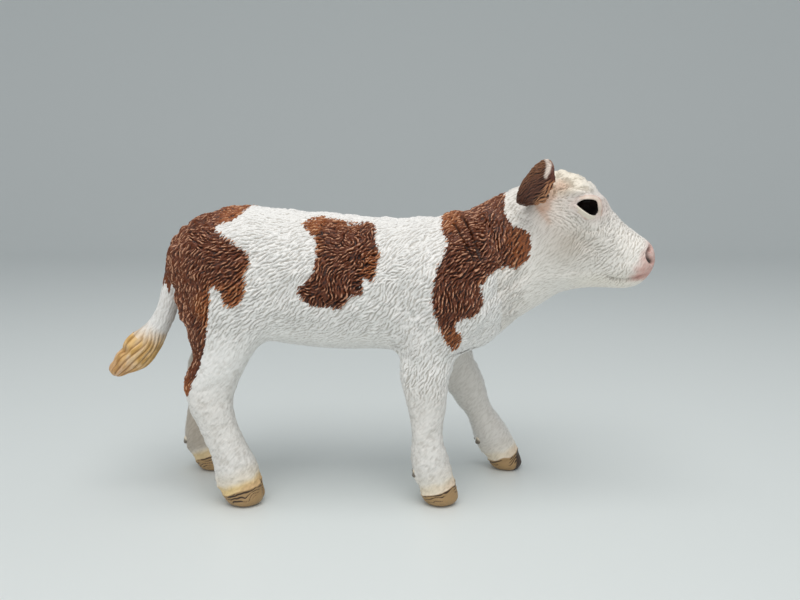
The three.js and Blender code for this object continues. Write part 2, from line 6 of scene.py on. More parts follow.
import bpy
import numpy as np
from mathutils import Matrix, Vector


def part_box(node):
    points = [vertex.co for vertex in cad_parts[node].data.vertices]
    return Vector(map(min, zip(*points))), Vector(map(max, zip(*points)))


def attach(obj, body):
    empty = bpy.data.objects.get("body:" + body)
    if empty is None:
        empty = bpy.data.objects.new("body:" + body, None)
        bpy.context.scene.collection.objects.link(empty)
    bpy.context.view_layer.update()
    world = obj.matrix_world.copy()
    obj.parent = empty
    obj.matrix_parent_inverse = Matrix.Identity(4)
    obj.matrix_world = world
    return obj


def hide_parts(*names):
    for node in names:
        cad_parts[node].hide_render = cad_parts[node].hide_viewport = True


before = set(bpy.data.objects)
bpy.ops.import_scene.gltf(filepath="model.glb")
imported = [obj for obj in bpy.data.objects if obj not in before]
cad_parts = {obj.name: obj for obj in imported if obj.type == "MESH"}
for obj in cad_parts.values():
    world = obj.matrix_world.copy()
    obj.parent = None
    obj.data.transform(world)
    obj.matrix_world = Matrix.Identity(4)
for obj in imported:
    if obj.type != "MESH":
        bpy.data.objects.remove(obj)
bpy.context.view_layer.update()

mm = 0.001


def boxOf(node):  # lowest and highest corners of a casting, in millimetres
    return np.array(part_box(node)) / mm


torsoBox = boxOf("torso")
middleY = torsoBox[:, 1].mean()  # the plane that the body is mirrored in
legJoint = torsoBox[0, 2]  # height of the joint between the body and the legs
legNames = ["leg_front_right", "leg_front_left", "leg_rear_right", "leg_rear_left"]
neckJoint = {"place": np.array([15.55, middleY, 31.1]), "way": np.array([0.983, 0.0, 0.185])}
headPose = {"pivot": np.array([18.55, middleY, 0.0]), "turn": math.radians(12)}


# Small tools for arrays

def unit(v):  # each vector divided by its length
    return v / np.maximum(np.linalg.norm(v, axis=-1, keepdims=True), 1e-12)


def xyz(points):  # the three coordinates, each as an array of its own
    return np.moveaxis(points, -1, 0)


def ramp(x, low, high):  # 0 below low, 1 above high, smooth between
    t = np.clip((x - low) / (high - low), 0, 1)
    return t * t * (3 - 2 * t)


def bell(x, width):  # 1 at 0 and less on both sides: exp(-(x / width) ^ 2)
    return np.exp(-(x / width) ** 2)


def spot(points, place, size):  # bell in the side view round a place (x, z), with its size both ways
    x, _, z = xyz(points)
    return np.exp(-((x - place[0]) / size[0]) ** 2 - ((z - place[1]) / size[1]) ** 2)


def toHead(points):  # head's own axes: the neck's turn undone, y measured from the middle plane
    c, s = math.cos(headPose["turn"]), math.sin(headPose["turn"])
    x, y, z = xyz(points - headPose["pivot"])
    return np.stack([headPose["pivot"][0] + x * c - y * s, x * s + y * c, z], -1)


def fromHead(points):  # back from the head's own axes
    c, s = math.cos(headPose["turn"]), math.sin(headPose["turn"])
    x, y, z = xyz(points)
    x = x - headPose["pivot"][0]
    return np.stack([headPose["pivot"][0] + x * c + y * s,
                     headPose["pivot"][1] - x * s + y * c, z], -1)


def smoothLine(points, count, closed=False):  # Catmull-Rom curve through given points
    p = np.asarray(points, float)
    ends = (p[-1:], p[:2]) if closed else (2 * p[:1] - p[1:2], 2 * p[-1:] - p[-2:-1])
    q = np.concatenate([ends[0], p, ends[1]])
    spans = len(q) - 3
    t = np.linspace(0, spans, count, endpoint=not closed)
    i = np.minimum(t.astype(int), spans - 1)
    f = (t - i)[:, None]
    a, b, c, d = q[i], q[i + 1], q[i + 2], q[i + 3]
    return 0.5 * (2 * b + (c - a) * f + (2 * a - 5 * b + 4 * c - d) * f ** 2
                  + (3 * b - a - 3 * c + d) * f ** 3)


def toSegments(points, line):  # distance in the side view from points to a line of x, z corners
    best = np.full(points.shape[:-1], np.inf)
    flat = points[..., [0, 2]]
    for a, b in zip(line[:-1], line[1:]):
        along = b - a
        t = np.clip(((flat - a) @ along) / (along @ along), 0, 1)
        best = np.minimum(best, np.linalg.norm(flat - a - t[..., None] * along, axis=-1))
    return best


def toCurve(points, corners, count):  # distance in the side view to a smooth line of that many points
    return toSegments(points, smoothLine(corners, count))


def circle(count):  # angles of points spread evenly round a circle, in one row
    return np.linspace(0, 2 * np.pi, count, endpoint=False)[None, :]


def insideLine(points, line):  # True inside a closed line of x, z corners
    x, z = points[..., 0], points[..., 2]
    inside = np.zeros(x.shape, bool)
    for (ax, az), (bx, bz) in zip(line, np.roll(line, -1, 0)):
        crosses = (az > z) != (bz > z)
        at = ax + (z - az) / np.where(bz == az, 1e-9, bz - az) * (bx - ax)
        inside ^= crosses & (x < at)
    return inside


# Random patterns in space, the same on every run

def lottery(cells, salt):  # four numbers from 0 to 1 for every whole-number cell
    n = cells.astype(np.uint32)
    h = n[..., 0] * np.uint32(374761393) + n[..., 1] * np.uint32(668265263)
    h = h + n[..., 2] * np.uint32(3266489917) + np.uint32((salt * 974634777) % 2 ** 32)
    drawn = []
    for mixer in (2246822519, 3266489917):
        h = (h ^ (h >> np.uint32(15))) * np.uint32(mixer)
        h = h ^ (h >> np.uint32(13))
        drawn += [(h & np.uint32(0xffff)) / 65535.0, (h >> np.uint32(16)) / 65535.0]
    return np.stack(drawn, -1)


def noise(points, size, salt):  # smooth noise from -1 to 1: eased blend of random lattice values
    p = points / size
    cell = np.floor(p).astype(np.int64)
    f = p - cell
    f = f * f * (3 - 2 * f)
    total = np.zeros(points.shape[:-1])
    for corner in itertools.product((0, 1), repeat=3):
        weight = np.prod(np.where(np.array(corner) == 1, f, 1 - f), axis=-1)
        total += weight * lottery(cell + np.array(corner), salt)[..., 0]
    return total * 2 - 1


def strokes(points, along, across, size, salt):
    # Carved strokes: random seeds scattered in space, each a short bent wave that runs across the
    # lie of the hair, turned a little by chance, and fades out within its length, width and depth.
    # The waves are added up.
    length, width, wave, crowd, scatter, bend = size
    depth = width * 1.2
    normal = np.cross(along, across)
    cell = np.floor(points / length).astype(np.int64)
    total = np.zeros(points.shape[:-1])
    for offset in itertools.product((-1, 0, 1), repeat=3):
        home = cell + np.array(offset)
        for k in range(crowd):
            draw = lottery(home, salt + k)
            d = points - (home + draw[..., :3]) * length
            u = (d * along).sum(-1)
            v = (d * across).sum(-1)
            w = (d * normal).sum(-1)
            swing = (draw[..., 3] - 0.5) * 2
            u, v = u + v * swing * scatter, v - u * swing * scatter
            v = v + bend * (draw[..., 0] - 0.3) * u * u
            fade = np.clip(1 - (u / length) ** 2 - (v / width) ** 2 - (w / depth) ** 2, 0, 1)
            total += fade ** 2 * np.cos(2 * np.pi * (v / wave + draw[..., 1] * 7))
    return np.tanh(1.7 * total)


# Meshes

def fetched(items, field, width, kind=np.float32):  # a field of a mesh's items, one row for each
    values = np.empty(len(items) * width, kind)
    items.foreach_get(field, values)
    return values.reshape(-1, width)


def gridFaces(rows, columns, closed=False):
    # Quads between neighbouring rings of a grid. In a closed grid the last ring joins the first.
    i = np.arange(rows if closed else rows - 1)[:, None]
    n = (i + 1) % rows * columns
    i = i * columns
    j = np.arange(columns)[None, :]
    k = (j + 1) % columns
    return np.stack([i + j, i + k, n + k, n + j], -1).reshape(-1, 4)


def meshObject(name, points, *faces):  # new object in the scene, its faces in one or more arrays
    mesh = bpy.data.meshes.new(name)
    mesh.from_pydata(points.tolist(), [], sum((group.tolist() for group in faces), []))
    piece = bpy.data.objects.new(name, mesh)
    bpy.context.scene.collection.objects.link(piece)
    return piece


def pieceMesh(name, points, faces, caps, values):
    # Smooth closed mesh in metres. Its faces look outwards: the volume that they hold, the sum of
    # the triple products of their corners, is positive. Each point carries the values.
    a, b, c, d = (points[faces[:, n]] for n in range(4))
    inverted = (a * np.cross(b, c)).sum() + (a * np.cross(c, d)).sum() < 0
    shapes = [group[:, ::-1] if inverted else group for group in (faces, *caps)]
    piece = meshObject(name, points * mm, *shapes)
    mesh = piece.data
    mesh.polygons.foreach_set("use_smooth", np.ones(len(mesh.polygons), bool))
    for label, value in values.items():
        layer = mesh.attributes.new(label, "FLOAT", "POINT")
        layer.data.foreach_set("value", value.astype(np.float32))
    mesh.update()
    return piece


def gridMesh(name, grid, values=None):
    # Closed mesh of a grid of rings: rows x columns points, with a fan of triangles at each end.
    rows, columns = grid.shape[:2]
    points = np.concatenate([grid.reshape(-1, 3), grid[0].mean(0)[None], grid[-1].mean(0)[None]])
    j = np.arange(columns)
    k = (j + 1) % columns
    base = (rows - 1) * columns
    caps = (np.stack([k, j, np.full(columns, rows * columns)], -1),
            np.stack([base + j, base + k, np.full(columns, rows * columns + 1)], -1))
    flat = {label: np.concatenate([value.reshape(-1), [value[0].mean(), value[-1].mean()]])
            for label, value in (values or {}).items()}
    return pieceMesh(name, points, gridFaces(rows, columns), caps, flat)


def ringMesh(name, grid, values):  # closed ring: both directions of the grid join up
    flat = {label: value.reshape(-1) for label, value in values.items()}
    return pieceMesh(name, grid.reshape(-1, 3), gridFaces(*grid.shape[:2], closed=True), (), flat)


def normalsOf(grid, outward):  # unit normals of a grid of rings, on the side of outward
    down = np.gradient(grid, axis=0)
    around = np.roll(grid, -1, 1) - np.roll(grid, 1, 1)
    n = unit(np.cross(down, around))
    sign = np.sign((n * outward).sum(-1).mean())
    return n * (sign if sign else 1)


def discard(piece):
    mesh = piece.data
    bpy.data.objects.remove(piece)
    bpy.data.meshes.remove(mesh)


def worked(piece):  # points and mesh of an object after its modifiers
    mesh = bpy.data.meshes.new_from_object(
        piece.evaluated_get(bpy.context.evaluated_depsgraph_get()))
    return fetched(mesh.vertices, "co", 3).astype(float), mesh


# The body's smooth form, fused from copies of the castings

fused = {
    "gap": 0.25,  # grown by this much, so that the joints close
    "voxel": 0.42,
    "turns": 14,  # smoothing passes
    "back": 0.24,  # taken off again at the end
    "sole": -2.0,  # the soles are drawn down to here, so that they end square at the ground
}


def casting(node):  # welded points, in millimetres, and triangles of a casting
    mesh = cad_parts[node].data
    mesh.calc_loop_triangles()
    points = fetched(mesh.vertices, "co", 3) / mm
    faces = fetched(mesh.loop_triangles, "vertices", 3, np.int32)
    _, first, welded = np.unique((points * 500).round(), axis=0, return_index=True,
                                 return_inverse=True)
    points = points[first].astype(float)
    faces = welded.reshape(-1)[faces]
    faces = faces[(faces != np.roll(faces, 1, 1)).all(1)]
    return points, faces


def grown(points, faces, by):  # points moved out along normals that add up those of their faces
    a, b, c = points[faces[:, 0]], points[faces[:, 1]], points[faces[:, 2]]
    facing = np.cross(b - a, c - a)
    normal = np.stack([sum(np.bincount(faces[:, n], facing[:, k], len(points))
                           for n in range(faces.shape[1])) for k in range(3)], -1)
    return points + unit(normal) * by


def relaxed(points, edges, turns):  # each point moves halfway to the mean of its neighbours
    a, b = edges.T
    count = np.bincount(np.concatenate([a, b]), minlength=len(points))[:, None]
    for _ in range(turns):
        mean = np.stack([np.bincount(a, points[b, k], len(points))
                         + np.bincount(b, points[a, k], len(points)) for k in range(3)], -1)
        points = points + 0.5 * (mean / count - points)
    return points


def fuse(name, nodes, trims):  # smooth closed form of several castings
    allPoints, allFaces, start = [], [], 0
    for node in nodes:
        points, faces = casting(node)
        points = grown(points, faces, fused["gap"])
        points = trims.get(node, lambda p: p)(points)
        if node in legNames:
            points[:, 2] = np.where(points[:, 2] < 0.2, fused["sole"], points[:, 2])
        allPoints.append(points)
        allFaces.append(faces + start)
        start += len(points)
    rough = meshObject(name, np.concatenate(allPoints), np.concatenate(allFaces))
    remesh = rough.modifiers.new("fuse", "REMESH")
    remesh.mode = "VOXEL"
    remesh.voxel_size = fused["voxel"]
    points, mesh = worked(rough)
    faces = fetched(mesh.polygons, "vertices", 4, np.int32)
    points = relaxed(points, fetched(mesh.edges, "vertices", 2, np.int32), fused["turns"])
    points = grown(points, faces, -fused["back"])
    discard(rough)
    bpy.data.meshes.remove(mesh)
    return meshObject(name, points, faces)


# Pieces are wrapped round the smooth form: rays leave a line inside the piece, square to it along
# its length and fanned out round its free ends, and each ray stops where it meets the form.

def rays(line, spacing, girth, fans):
    # line: the middle line; fans: (start, end), True where the piece has a round free end.
    fine = smoothLine(line, 400)
    way = unit(np.gradient(fine, axis=0))
    gone = np.concatenate([[0], np.cumsum(np.linalg.norm(np.diff(fine, axis=0), axis=1))])
    count = max(int(gone[-1] / spacing), 4)
    at = np.linspace(0, gone[-1], count)
    middle = np.stack([np.interp(at, gone, fine[:, k]) for k in range(3)], -1)
    ahead = unit(np.stack([np.interp(at, gone, way[:, k]) for k in range(3)], -1))
    columns = int(girth / spacing)
    turn = int(girth / 4 / spacing)
    before, after = turn * fans[0], turn * fans[1]
    middle, ahead = (np.pad(rows, ((before, after), (0, 0)), "edge") for rows in (middle, ahead))
    tilt = np.concatenate([np.linspace(math.pi - 0.02, math.pi / 2, before, False),
                           np.full(count, math.pi / 2),
                           np.linspace(math.pi / 2, 0.02, after + 1)[1:]])
    side = unit(np.array([0, 1, 0]) - ahead * ahead[:, 1:2])
    over = np.cross(side, ahead)
    angle = circle(columns)[..., None]
    radial = np.cos(angle) * over[:, None] + np.sin(angle) * side[:, None]
    tilt = tilt[:, None, None]
    direction = np.cos(tilt) * ahead[:, None] + np.sin(tilt) * radial
    return middle, direction


def reach(form, middle, direction):  # distance along each ray to the form
    thin = 0.3  # the rays leave this far from the middle line
    starts = middle[:, None] + direction * thin
    rows, columns = direction.shape[:2]
    faces = gridFaces(rows, columns)
    facing = normalsOf(starts, direction)
    a, b, d = starts[:-1], np.roll(starts, -1, 1)[:-1], starts[1:]
    if (np.cross(b - a, d - a) * facing[:-1]).sum() < 0:
        faces = faces[:, ::-1]
    probe = meshObject("probe", starts.reshape(-1, 3), faces)
    cast = probe.modifiers.new("cast", "SHRINKWRAP")
    cast.target = form
    cast.wrap_method = "PROJECT"
    cast.use_positive_direction = True
    cast.use_negative_direction = False
    landed, mesh = worked(probe)
    discard(probe)
    bpy.data.meshes.remove(mesh)
    far = np.linalg.norm(landed.reshape(rows, columns, 3) - middle[:, None], axis=-1)
    return np.where(far < thin * 1.05, np.inf, far)


def toPlane(middle, direction, place, way):  # distance along each ray to a plane, if it is ahead
    slope = direction @ way
    gap = ((place - middle) @ way)[:, None]
    return np.where(slope > 1e-6, gap / np.maximum(slope, 1e-6), np.inf)


# Forms carved over the castings: hollows and swellings in the side view, alike on both sides.
# Each is the place (x, z), its reach along and across, its lean in degrees, and its height.

bodyForms = {
    "hip bone": (-19.5, 36.8, 2.0, 1.0, 15, 0.25),
    "croup": (-20.5, 39.5, 3.0, 1.2, 18, -0.25),
    "hollow behind the hip": (-24.6, 35.8, 2.4, 0.8, 35, -0.3),
    "flank": (-14.6, 31.5, 2.2, 4.0, 10, -0.45),
    "stifle fold": (-14.6, 21.2, 2.2, 1.0, 60, -0.3),
    "thigh": (-20.5, 27.5, 3.0, 5.0, -15, 0.3),
    "last rib": (-9.8, 28.5, 1.1, 5.5, 18, 0.2),
    "shoulder blade": (7.0, 31.0, 2.2, 5.0, 20, 0.3),
    "behind the shoulder": (2.9, 28.5, 1.1, 5.5, 10, -0.35),
    "point of the shoulder": (13.0, 26.5, 2.2, 2.4, 0, 0.3),
    "elbow": (5.4, 21.2, 1.5, 1.6, 0, 0.25),
    "armpit fold": (3.6, 20.6, 0.9, 1.6, -20, -0.4),
    "jugular groove": (16.3, 28.6, 4.5, 0.7, 32, -0.3),
    "throat": (14.6, 23.6, 3.0, 1.2, 35, -0.35),
    "foreleg muscle": (7.6, 17.2, 2.2, 2.4, 0, 0.25),
    "knee": (8.0, 10.2, 1.6, 1.3, 0, 0.12),
    "hock": (-22.2, 13.8, 1.6, 1.6, 0, 0.15),
    "calf muscle": (-20.2, 18.8, 1.8, 2.6, -20, 0.2),
}


thighEdge = {  # the thigh's rear edge is drawn forwards by this much at each height
    "height": (16.7, 17.7, 18.8, 20.0, 23.0, 24.5, 26.0, 29.0, 31.0, 34.0),
    "push": (0.0, 0.3, 0.7, 0.95, 1.0, 1.2, 1.45, 1.5, 1.0, 0.0),
}


profiles = {  # outline of the back, and of the crown in the head's own axes: x, z
    "back": [(-27.5, 36.0), (-26.4, 37.0), (-24.9, 37.9), (-22.9, 38.85), (-20.7, 39.4), (-18.8, 39.6),
             (-15.3, 39.55), (-11.3, 39.05), (-7.4, 38.8), (-4.7, 38.45), (-1.9, 38.1), (3.3, 37.9),
             (8.2, 38.1), (10.5, 38.5), (11.7, 38.75), (13.8, 39.5), (15.7, 40.3), (17.2, 41.1),
             (19.9, 42.8), (22.0, 44.4)],
    "crown": [(19.9, 42.8), (21.5, 44.3), (23.2, 44.7), (25.2, 44.6), (26.2, 44.3), (27.4, 43.55),
              (28.5, 42.75), (29.4, 41.7), (30.1, 41.15), (30.8, 40.45), (31.1, 39.9), (31.5, 39.1),
              (32.4, 38.35), (33.1, 37.6), (34.0, 37.3)],
}


skyline = {
    "fall": 0.07,  # the outline lies lower by this much times the squared distance from the middle
    "soft": 0.18,  # how gradually the skin comes to lie under it
    "deep": 3.0,  # skin further below the outline than this stays as it is
}


def settled(points, x, across, profile):
    # Skin brought smoothly under an outline: z becomes top - soft * log(1 + exp((top - z) / soft)).
    line = np.array(profiles[profile])
    top = np.interp(x, line[:, 0], line[:, 1]) - skyline["fall"] * across ** 2
    over = np.maximum(points[..., 2] - top, -skyline["deep"] - 1)
    under = top - skyline["soft"] * np.log1p(np.exp(-over / skyline["soft"]))
    z = np.where(points[..., 2] > top - skyline["deep"], under, points[..., 2])
    return np.concatenate([points[..., :2], z[..., None]], -1)


def tucked(points):  # the thigh's rear edge drawn forwards
    push = np.interp(points[..., 2], thighEdge["height"], thighEdge["push"])
    return points + (push * ramp(points[..., 0], -20.0, -24.5))[..., None] * np.array([1, 0, 0])


creases = {  # folds of skin in the turned neck and beside the tail's root, on the right side only
    "lines": [[(10.6, 37.2), (11.1, 36.0), (11.7, 34.7), (12.8, 32.8)],
              [(11.7, 38.0), (12.3, 36.6), (12.9, 34.9), (13.7, 32.8)],
              [(-24.3, 36.5), (-23.3, 37.0), (-22.0, 37.7)]],
    "width": 0.17,
    "depth": 0.45,
}


def carve(points, forms):  # sum of smooth bumps: height * exp(-(along/reach)^2 - (across/reach)^2)
    total = np.zeros(points.shape[:-1])
    for x, z, alongReach, acrossReach, lean, height in forms.values():
        c, s = math.cos(math.radians(lean)), math.sin(math.radians(lean))
        dx, dz = points[..., 0] - x, points[..., 2] - z
        u = (dx * c + dz * s) / alongReach
        v = (-dx * s + dz * c) / acrossReach
        total += height * np.exp(-u * u - v * v)
    return total


# Painted patches, outlined in the side view in millimetres. Right side as photographed, left side
# of the same kind.

patchOutlines = {
    "right": {
        "rump": [(-17.5, 41), (-17.5, 38.6), (-20.1, 36.7), (-19.0, 35.7), (-16.8, 34.4),
                 (-15.5, 33.0), (-16.2, 30.9), (-16.0, 29.4), (-16.8, 27.3), (-18.4, 27.2),
                 (-19.2, 29.2), (-20.2, 29.4), (-20.4, 27.2), (-20.8, 24.7), (-21.3, 22.6),
                 (-21.9, 20.5), (-22.7, 18.6), (-23.7, 16.4), (-24.8, 14.8), (-25.9, 16.6),
                 (-25.6, 19.4), (-25.4, 21.5), (-26.4, 24.5), (-28.5, 27.6), (-31.5, 29),
                 (-33, 34), (-33, 41)],
        "middle": [(-9.2, 37.1), (-7.9, 38.0), (-5.8, 37.9), (-3.0, 37.3), (-0.2, 37.0),
                   (0.1, 35.3), (0.7, 33.6), (0.2, 31.0), (-0.4, 30.1), (-1.3, 30.4),
                   (-1.5, 28.6), (-2.9, 28.2), (-4.2, 26.7), (-5.6, 26.8), (-8.2, 27.2),
                   (-9.6, 28.9), (-8.5, 30.2), (-7.5, 31.8), (-7.3, 35.0)],
        "neck": [(9.7, 41), (9.1, 38.4), (8.8, 36.6), (9.4, 34.6), (8.1, 32.0), (7.5, 29.6),
                 (7.3, 27.6), (8.2, 24.7), (9.0, 22.6), (10.2, 21.3), (11.3, 22.8), (10.3, 24.2),
                 (11.2, 25.4), (12.8, 25.8), (13.8, 27.6), (13.7, 29.4), (15.0, 31.1),
                 (17.2, 31.7), (18.6, 31.5), (20.0, 33.0), (20.2, 35.4), (19.2, 36.7),
                 (17.8, 37.2), (17.0, 39.2), (17.0, 43)],
    },
    "left": {
        "rump": [(-16.5, 41), (-17.6, 38.2), (-15.2, 36.4), (-13.8, 33.6), (-15.6, 31.2),
                 (-18.4, 30.6), (-19.2, 28.4), (-21.5, 27.0), (-22.6, 23.8), (-24.6, 20.4),
                 (-26.0, 17.4), (-27.2, 18.4), (-26.8, 22.0), (-27.0, 25.6), (-28.5, 27.6),
                 (-31.5, 29), (-33, 34), (-33, 41)],
        "middle": [(-7.0, 35.6), (-4.6, 37.6), (-1.2, 37.0), (1.2, 35.0), (2.0, 31.6),
                   (1.4, 28.6), (-0.8, 26.4), (-3.8, 25.2), (-5.4, 27.4), (-4.4, 30.2),
                   (-6.6, 32.6)],
        "neck": [(9.9, 41), (9.3, 37.8), (9.2, 34.4), (10.6, 31.6), (10.0, 28.4), (11.0, 25.6),
                 (13.2, 24.6), (15.0, 26.4), (15.4, 29.6), (17.8, 30.6), (20.2, 32.6),
                 (21.0, 35.0), (19.4, 37.0), (17.4, 39.4), (17.0, 43)],
    },
}
patches = {side: [smoothLine(line, 4 * len(line), closed=True) for line in outlines.values()]
           for side, outlines in patchOutlines.items()}


def patchDepth(points):  # how far inside a patch, in millimetres; negative outside
    deep = np.full(points.shape[:-1], -4.0)
    right = points[..., 1] < middleY
    for side, outlines in patches.items():
        here = right if side == "right" else ~right
        near = points[here]
        for line in outlines:
            away = toSegments(near, np.concatenate([line, line[:1]]))
            signed = np.where(insideLine(near, line), away, -away)
            deep[here] = np.maximum(deep[here], signed)
    return deep


rustSpots = np.array([(9.6, 38.0), (10.3, 22.6), (-17.4, 28.2), (19.2, 33.0), (0.2, 32.0),
                      (-24.2, 15.4), (-18.4, 38.4), (-20.9, 27.0), (18.8, 35.4), (-8.2, 37.4)])


def rust(points, deep):  # lighter, redder paint: along some of the edges and in a few spots
    away = np.linalg.norm(points[..., None, [0, 2]] - rustSpots, axis=-1).min(-1)
    edges = ramp(deep, 1.4, 0.1) * ramp(noise(points, 4.5, 41), 0.0, 0.6)
    return np.clip(0.9 * ramp(away, 2.6, 0.8) + 0.7 * edges, 0, 1)


# The lie of the hair in the side view: place (x, z) and angle in degrees from the nose's way.

comb = np.array([
    # rump and thigh
    (-18.3, 38.9, 25), (-22.3, 37.9, 30), (-24.8, 35.5, 50), (-22.3, 35.6, -35),
    (-19.3, 34.5, 28), (-22.9, 32.9, 62), (-25.8, 32.5, 75), (-18.7, 31.5, 35),
    (-23.7, 30.2, 67), (-17.9, 28.6, 58), (-22.7, 26.4, 66), (-22.3, 22.3, 66), (-23, 17, 66),
    # flank and barrel
    (-14, 36, 10), (-14.2, 33.1, 27), (-11.2, 33.5, 20), (-14.2, 29.4, 38), (-12.2, 28.4, 42),
    (-14.2, 25.8, 36), (-12, 24, 40), (-4, 34, 40), (-8.1, 29.4, 40), (-5.1, 29.8, 50),
    (-1.0, 24.4, 32), (-6, 24, 36), (2, 35.5, 45), (2, 28, 45),
    # shoulder and neck
    (5.1, 35, 48), (6.5, 28.8, 48), (4, 24, 44), (9, 20, 52), (8, 15, 60), (10.1, 38.1, 70),
    (9.8, 31.5, 42), (9.0, 28.8, 72), (9.6, 24.4, 55), (11.9, 35.6, 15), (12.6, 36.3, 15),
    (12.4, 34.4, 20), (11.5, 31.3, 36), (13.0, 28.8, 64), (15.3, 38.5, 75), (15.5, 34.9, 70),
    (18.3, 34.2, 60), (15.6, 32.0, 45), (16, 29, 48), (13.5, 25, 50),
    # head
    (22, 34, 60), (24, 31, 20), (25.3, 38.3, -35), (28.4, 36.9, 95), (30.6, 37.6, 50),
    (32.8, 36.1, 55), (29.1, 34.7, 35), (31.3, 34.0, 45), (34, 34, 66), (34, 32, 80),
    (26.9, 32.5, 45), (25.5, 34.0, 60), (22, 43, 30), (26.5, 42.2, 10),
], float)

whorls = [(-3.2, 35.3, 1.1), (-1.6, 32.4, 0.7)]  # x, z and reach


def lieOfHair(points, normals, tangle):  # unit vectors along and across the hair, on the surface
    away = (points[..., None, 0] - comb[:, 0]) ** 2 + (points[..., None, 2] - comb[:, 1]) ** 2
    weight = 1 / (away + 0.9) ** 2
    weight = weight / weight.sum(-1, keepdims=True)
    doubled = np.radians(comb[:, 2]) * 2
    c, s = weight @ np.cos(doubled), weight @ np.sin(doubled)
    for x, z, extent in whorls:  # round a whorl's middle the hair lies square to the way out
        dx, dz = points[..., 0] - x, points[..., 2] - z
        pull = 3 * np.exp(-(dx * dx + dz * dz) / extent ** 2)
        c = c - pull * np.cos(2 * np.arctan2(dz, dx))
        s = s - pull * np.sin(2 * np.arctan2(dz, dx))
    angle = 0.5 * np.arctan2(s, c)
    angle = angle + tangle * noise(points, 1.7, 11) * 1.9 + 0.25 * noise(points, 3.5, 12)
    way = np.stack([np.cos(angle), np.zeros_like(angle), np.sin(angle)], -1)
    along = way - normals * (way * normals).sum(-1, keepdims=True)
    along = unit(along + 1e-6)
    return along, np.cross(normals, along)


coat = {
    # length, width, wave, seeds to a cell, scatter and bend of a stroke
    "strokeSize": (0.62, 0.42, 0.45, 3, 0.35, 0.4),
    "faceSize": (0.56, 0.36, 0.37, 3, 0.3, 0.3),
    "strokeDepth": 0.135,
    "patchDepth": 0.22,
    "faceDepth": 0.1,
    "lumps": 0.25,
    "curls": 0.16,
    "stipple": 0.05,
    "holes": 0.2,
    # how freely the hair wanders: everywhere, in the middle patch, in every patch, in the tangled
    # hair, and in loose spots of the white coat
    "wander": (0.14, 0.5, 0.04, 1.2, 0.3),
}


def coatRelief(points, normals, deep, face, curly):
    # Height of the coat over the smooth form and its signal from -1 (groove) to 1 (ridge),
    # which the materials paint as shade in the grooves and as highlight on the brown ridges.
    # face is 1 where the short hair of the face lies, curly is 1 where the hair is tangled.
    x, y, z = xyz(points)
    patch = ramp(deep, -0.1, 0.35)
    lowTop = 17.0 + 7.5 * ramp(x, -8, -12)
    low = ramp(z, lowTop, lowTop - 4.5)  # 1 on the lower legs
    under = ramp(-normals[..., 2], 0.55, 0.85) * ramp(z, 8, 14)
    inward = -normals[..., 1] * np.sign(y - middleY)
    inner = ramp(inward, 0.1, 0.6) * ramp(z, 22.5, 20.5)  # between the legs
    middle = patch * ramp(x, 5, 1) * ramp(x, -13, -9)
    base, inMiddle, inPatch, inTangle, loose = coat["wander"]
    wild = base + inMiddle * middle + inPatch * patch + inTangle * curly
    wild = wild + loose * ramp(noise(points, 5.0, 13), 0.1, 0.7) * (1 - face) * (1 - patch)
    along, across = lieOfHair(points, normals, wild)
    hair = strokes(points, along, across, coat["strokeSize"], 21)
    if face.max() > 0:
        hair = hair * (1 - face) + face * strokes(points, along, across, coat["faceSize"], 91)
    dots = np.tanh(1.5 * (noise(points, 0.34, 31) + 0.7 * noise(points, 0.75, 32)))
    depth = coat["strokeDepth"] + (coat["patchDepth"] - coat["strokeDepth"]) * patch
    depth = depth * (1 - face) + coat["faceDepth"] * face
    calm = (1 - 0.85 * low * (1 - patch)) * (1 - 0.8 * under) * (1 - 0.9 * inner)
    lumps = coat["lumps"] * (noise(points, 2.6, 33) + 0.75 * noise(points, 1.4, 34))
    lumps = lumps * (1 - 0.6 * curly)
    curls = ramp(np.abs(noise(points, 1.25, 36)), 0.05, 0.5)
    lumps = lumps + coat["curls"] * (1 + curly) * (curls - 0.5)
    lumps = lumps * (1 - face * (1 - curly)) * (1 - 0.6 * low) * (1 - 0.7 * under)
    hole = patch * ramp(noise(points, 0.95, 35), 0.55, 0.8) * (0.3 + 0.7 * middle) * (1 - low)
    stippled = (low + 0.3 * (1 - low)) * (1 - patch) * (1 - 0.7 * face)
    height = depth * hair * calm + coat["stipple"] * dots * stippled * (1 - inner)
    height = height + lumps * (0.75 + 0.35 * patch) * (1 - inner) - coat["holes"] * hole
    joint = bell(z - legJoint, 0.9) * ramp(inward, -0.6, -0.2)
    height = height * (1 - joint)  # calm where the legs' inner sides meet the trunk
    signal = hair * (1 - low * (1 - patch)) + 0.22 * dots * low * (1 - patch) - 0.7 * hole
    signal = (signal + 1.3 * curly * (curls - 0.6)) * (1 - 0.9 * inner) * (1 - 0.6 * under)
    return height, np.clip(signal, -1.4, 1)


# Nodes that several materials share

def added(tree, kind, inputs, **settings):  # outputs of a new node; an input is a socket or a value
    node = tree.nodes.new("ShaderNode" + kind)
    for name, value in settings.items():
        setattr(node, name, value)
    for name, value in inputs.items():
        if isinstance(value, bpy.types.NodeSocket):
            tree.links.new(value, node.inputs[name])
        else:
            node.inputs[name].default_value = value
    return node.outputs


def maths(tree, operation, a, b=0.0, c=0.0):  # a, b and c are numbers or sockets
    return added(tree, "Math", {0: a, 1: b, 2: c}, operation=operation)[0]


def mapped(tree, value, fromLow, fromHigh, toLow=0.0, toHigh=1.0):  # the same curve as ramp
    limits = {"From Min": fromLow, "From Max": fromHigh, "To Min": toLow, "To Max": toHigh}
    return added(tree, "MapRange", {"Value": value, **limits},
                 interpolation_type="SMOOTHSTEP")["Result"]


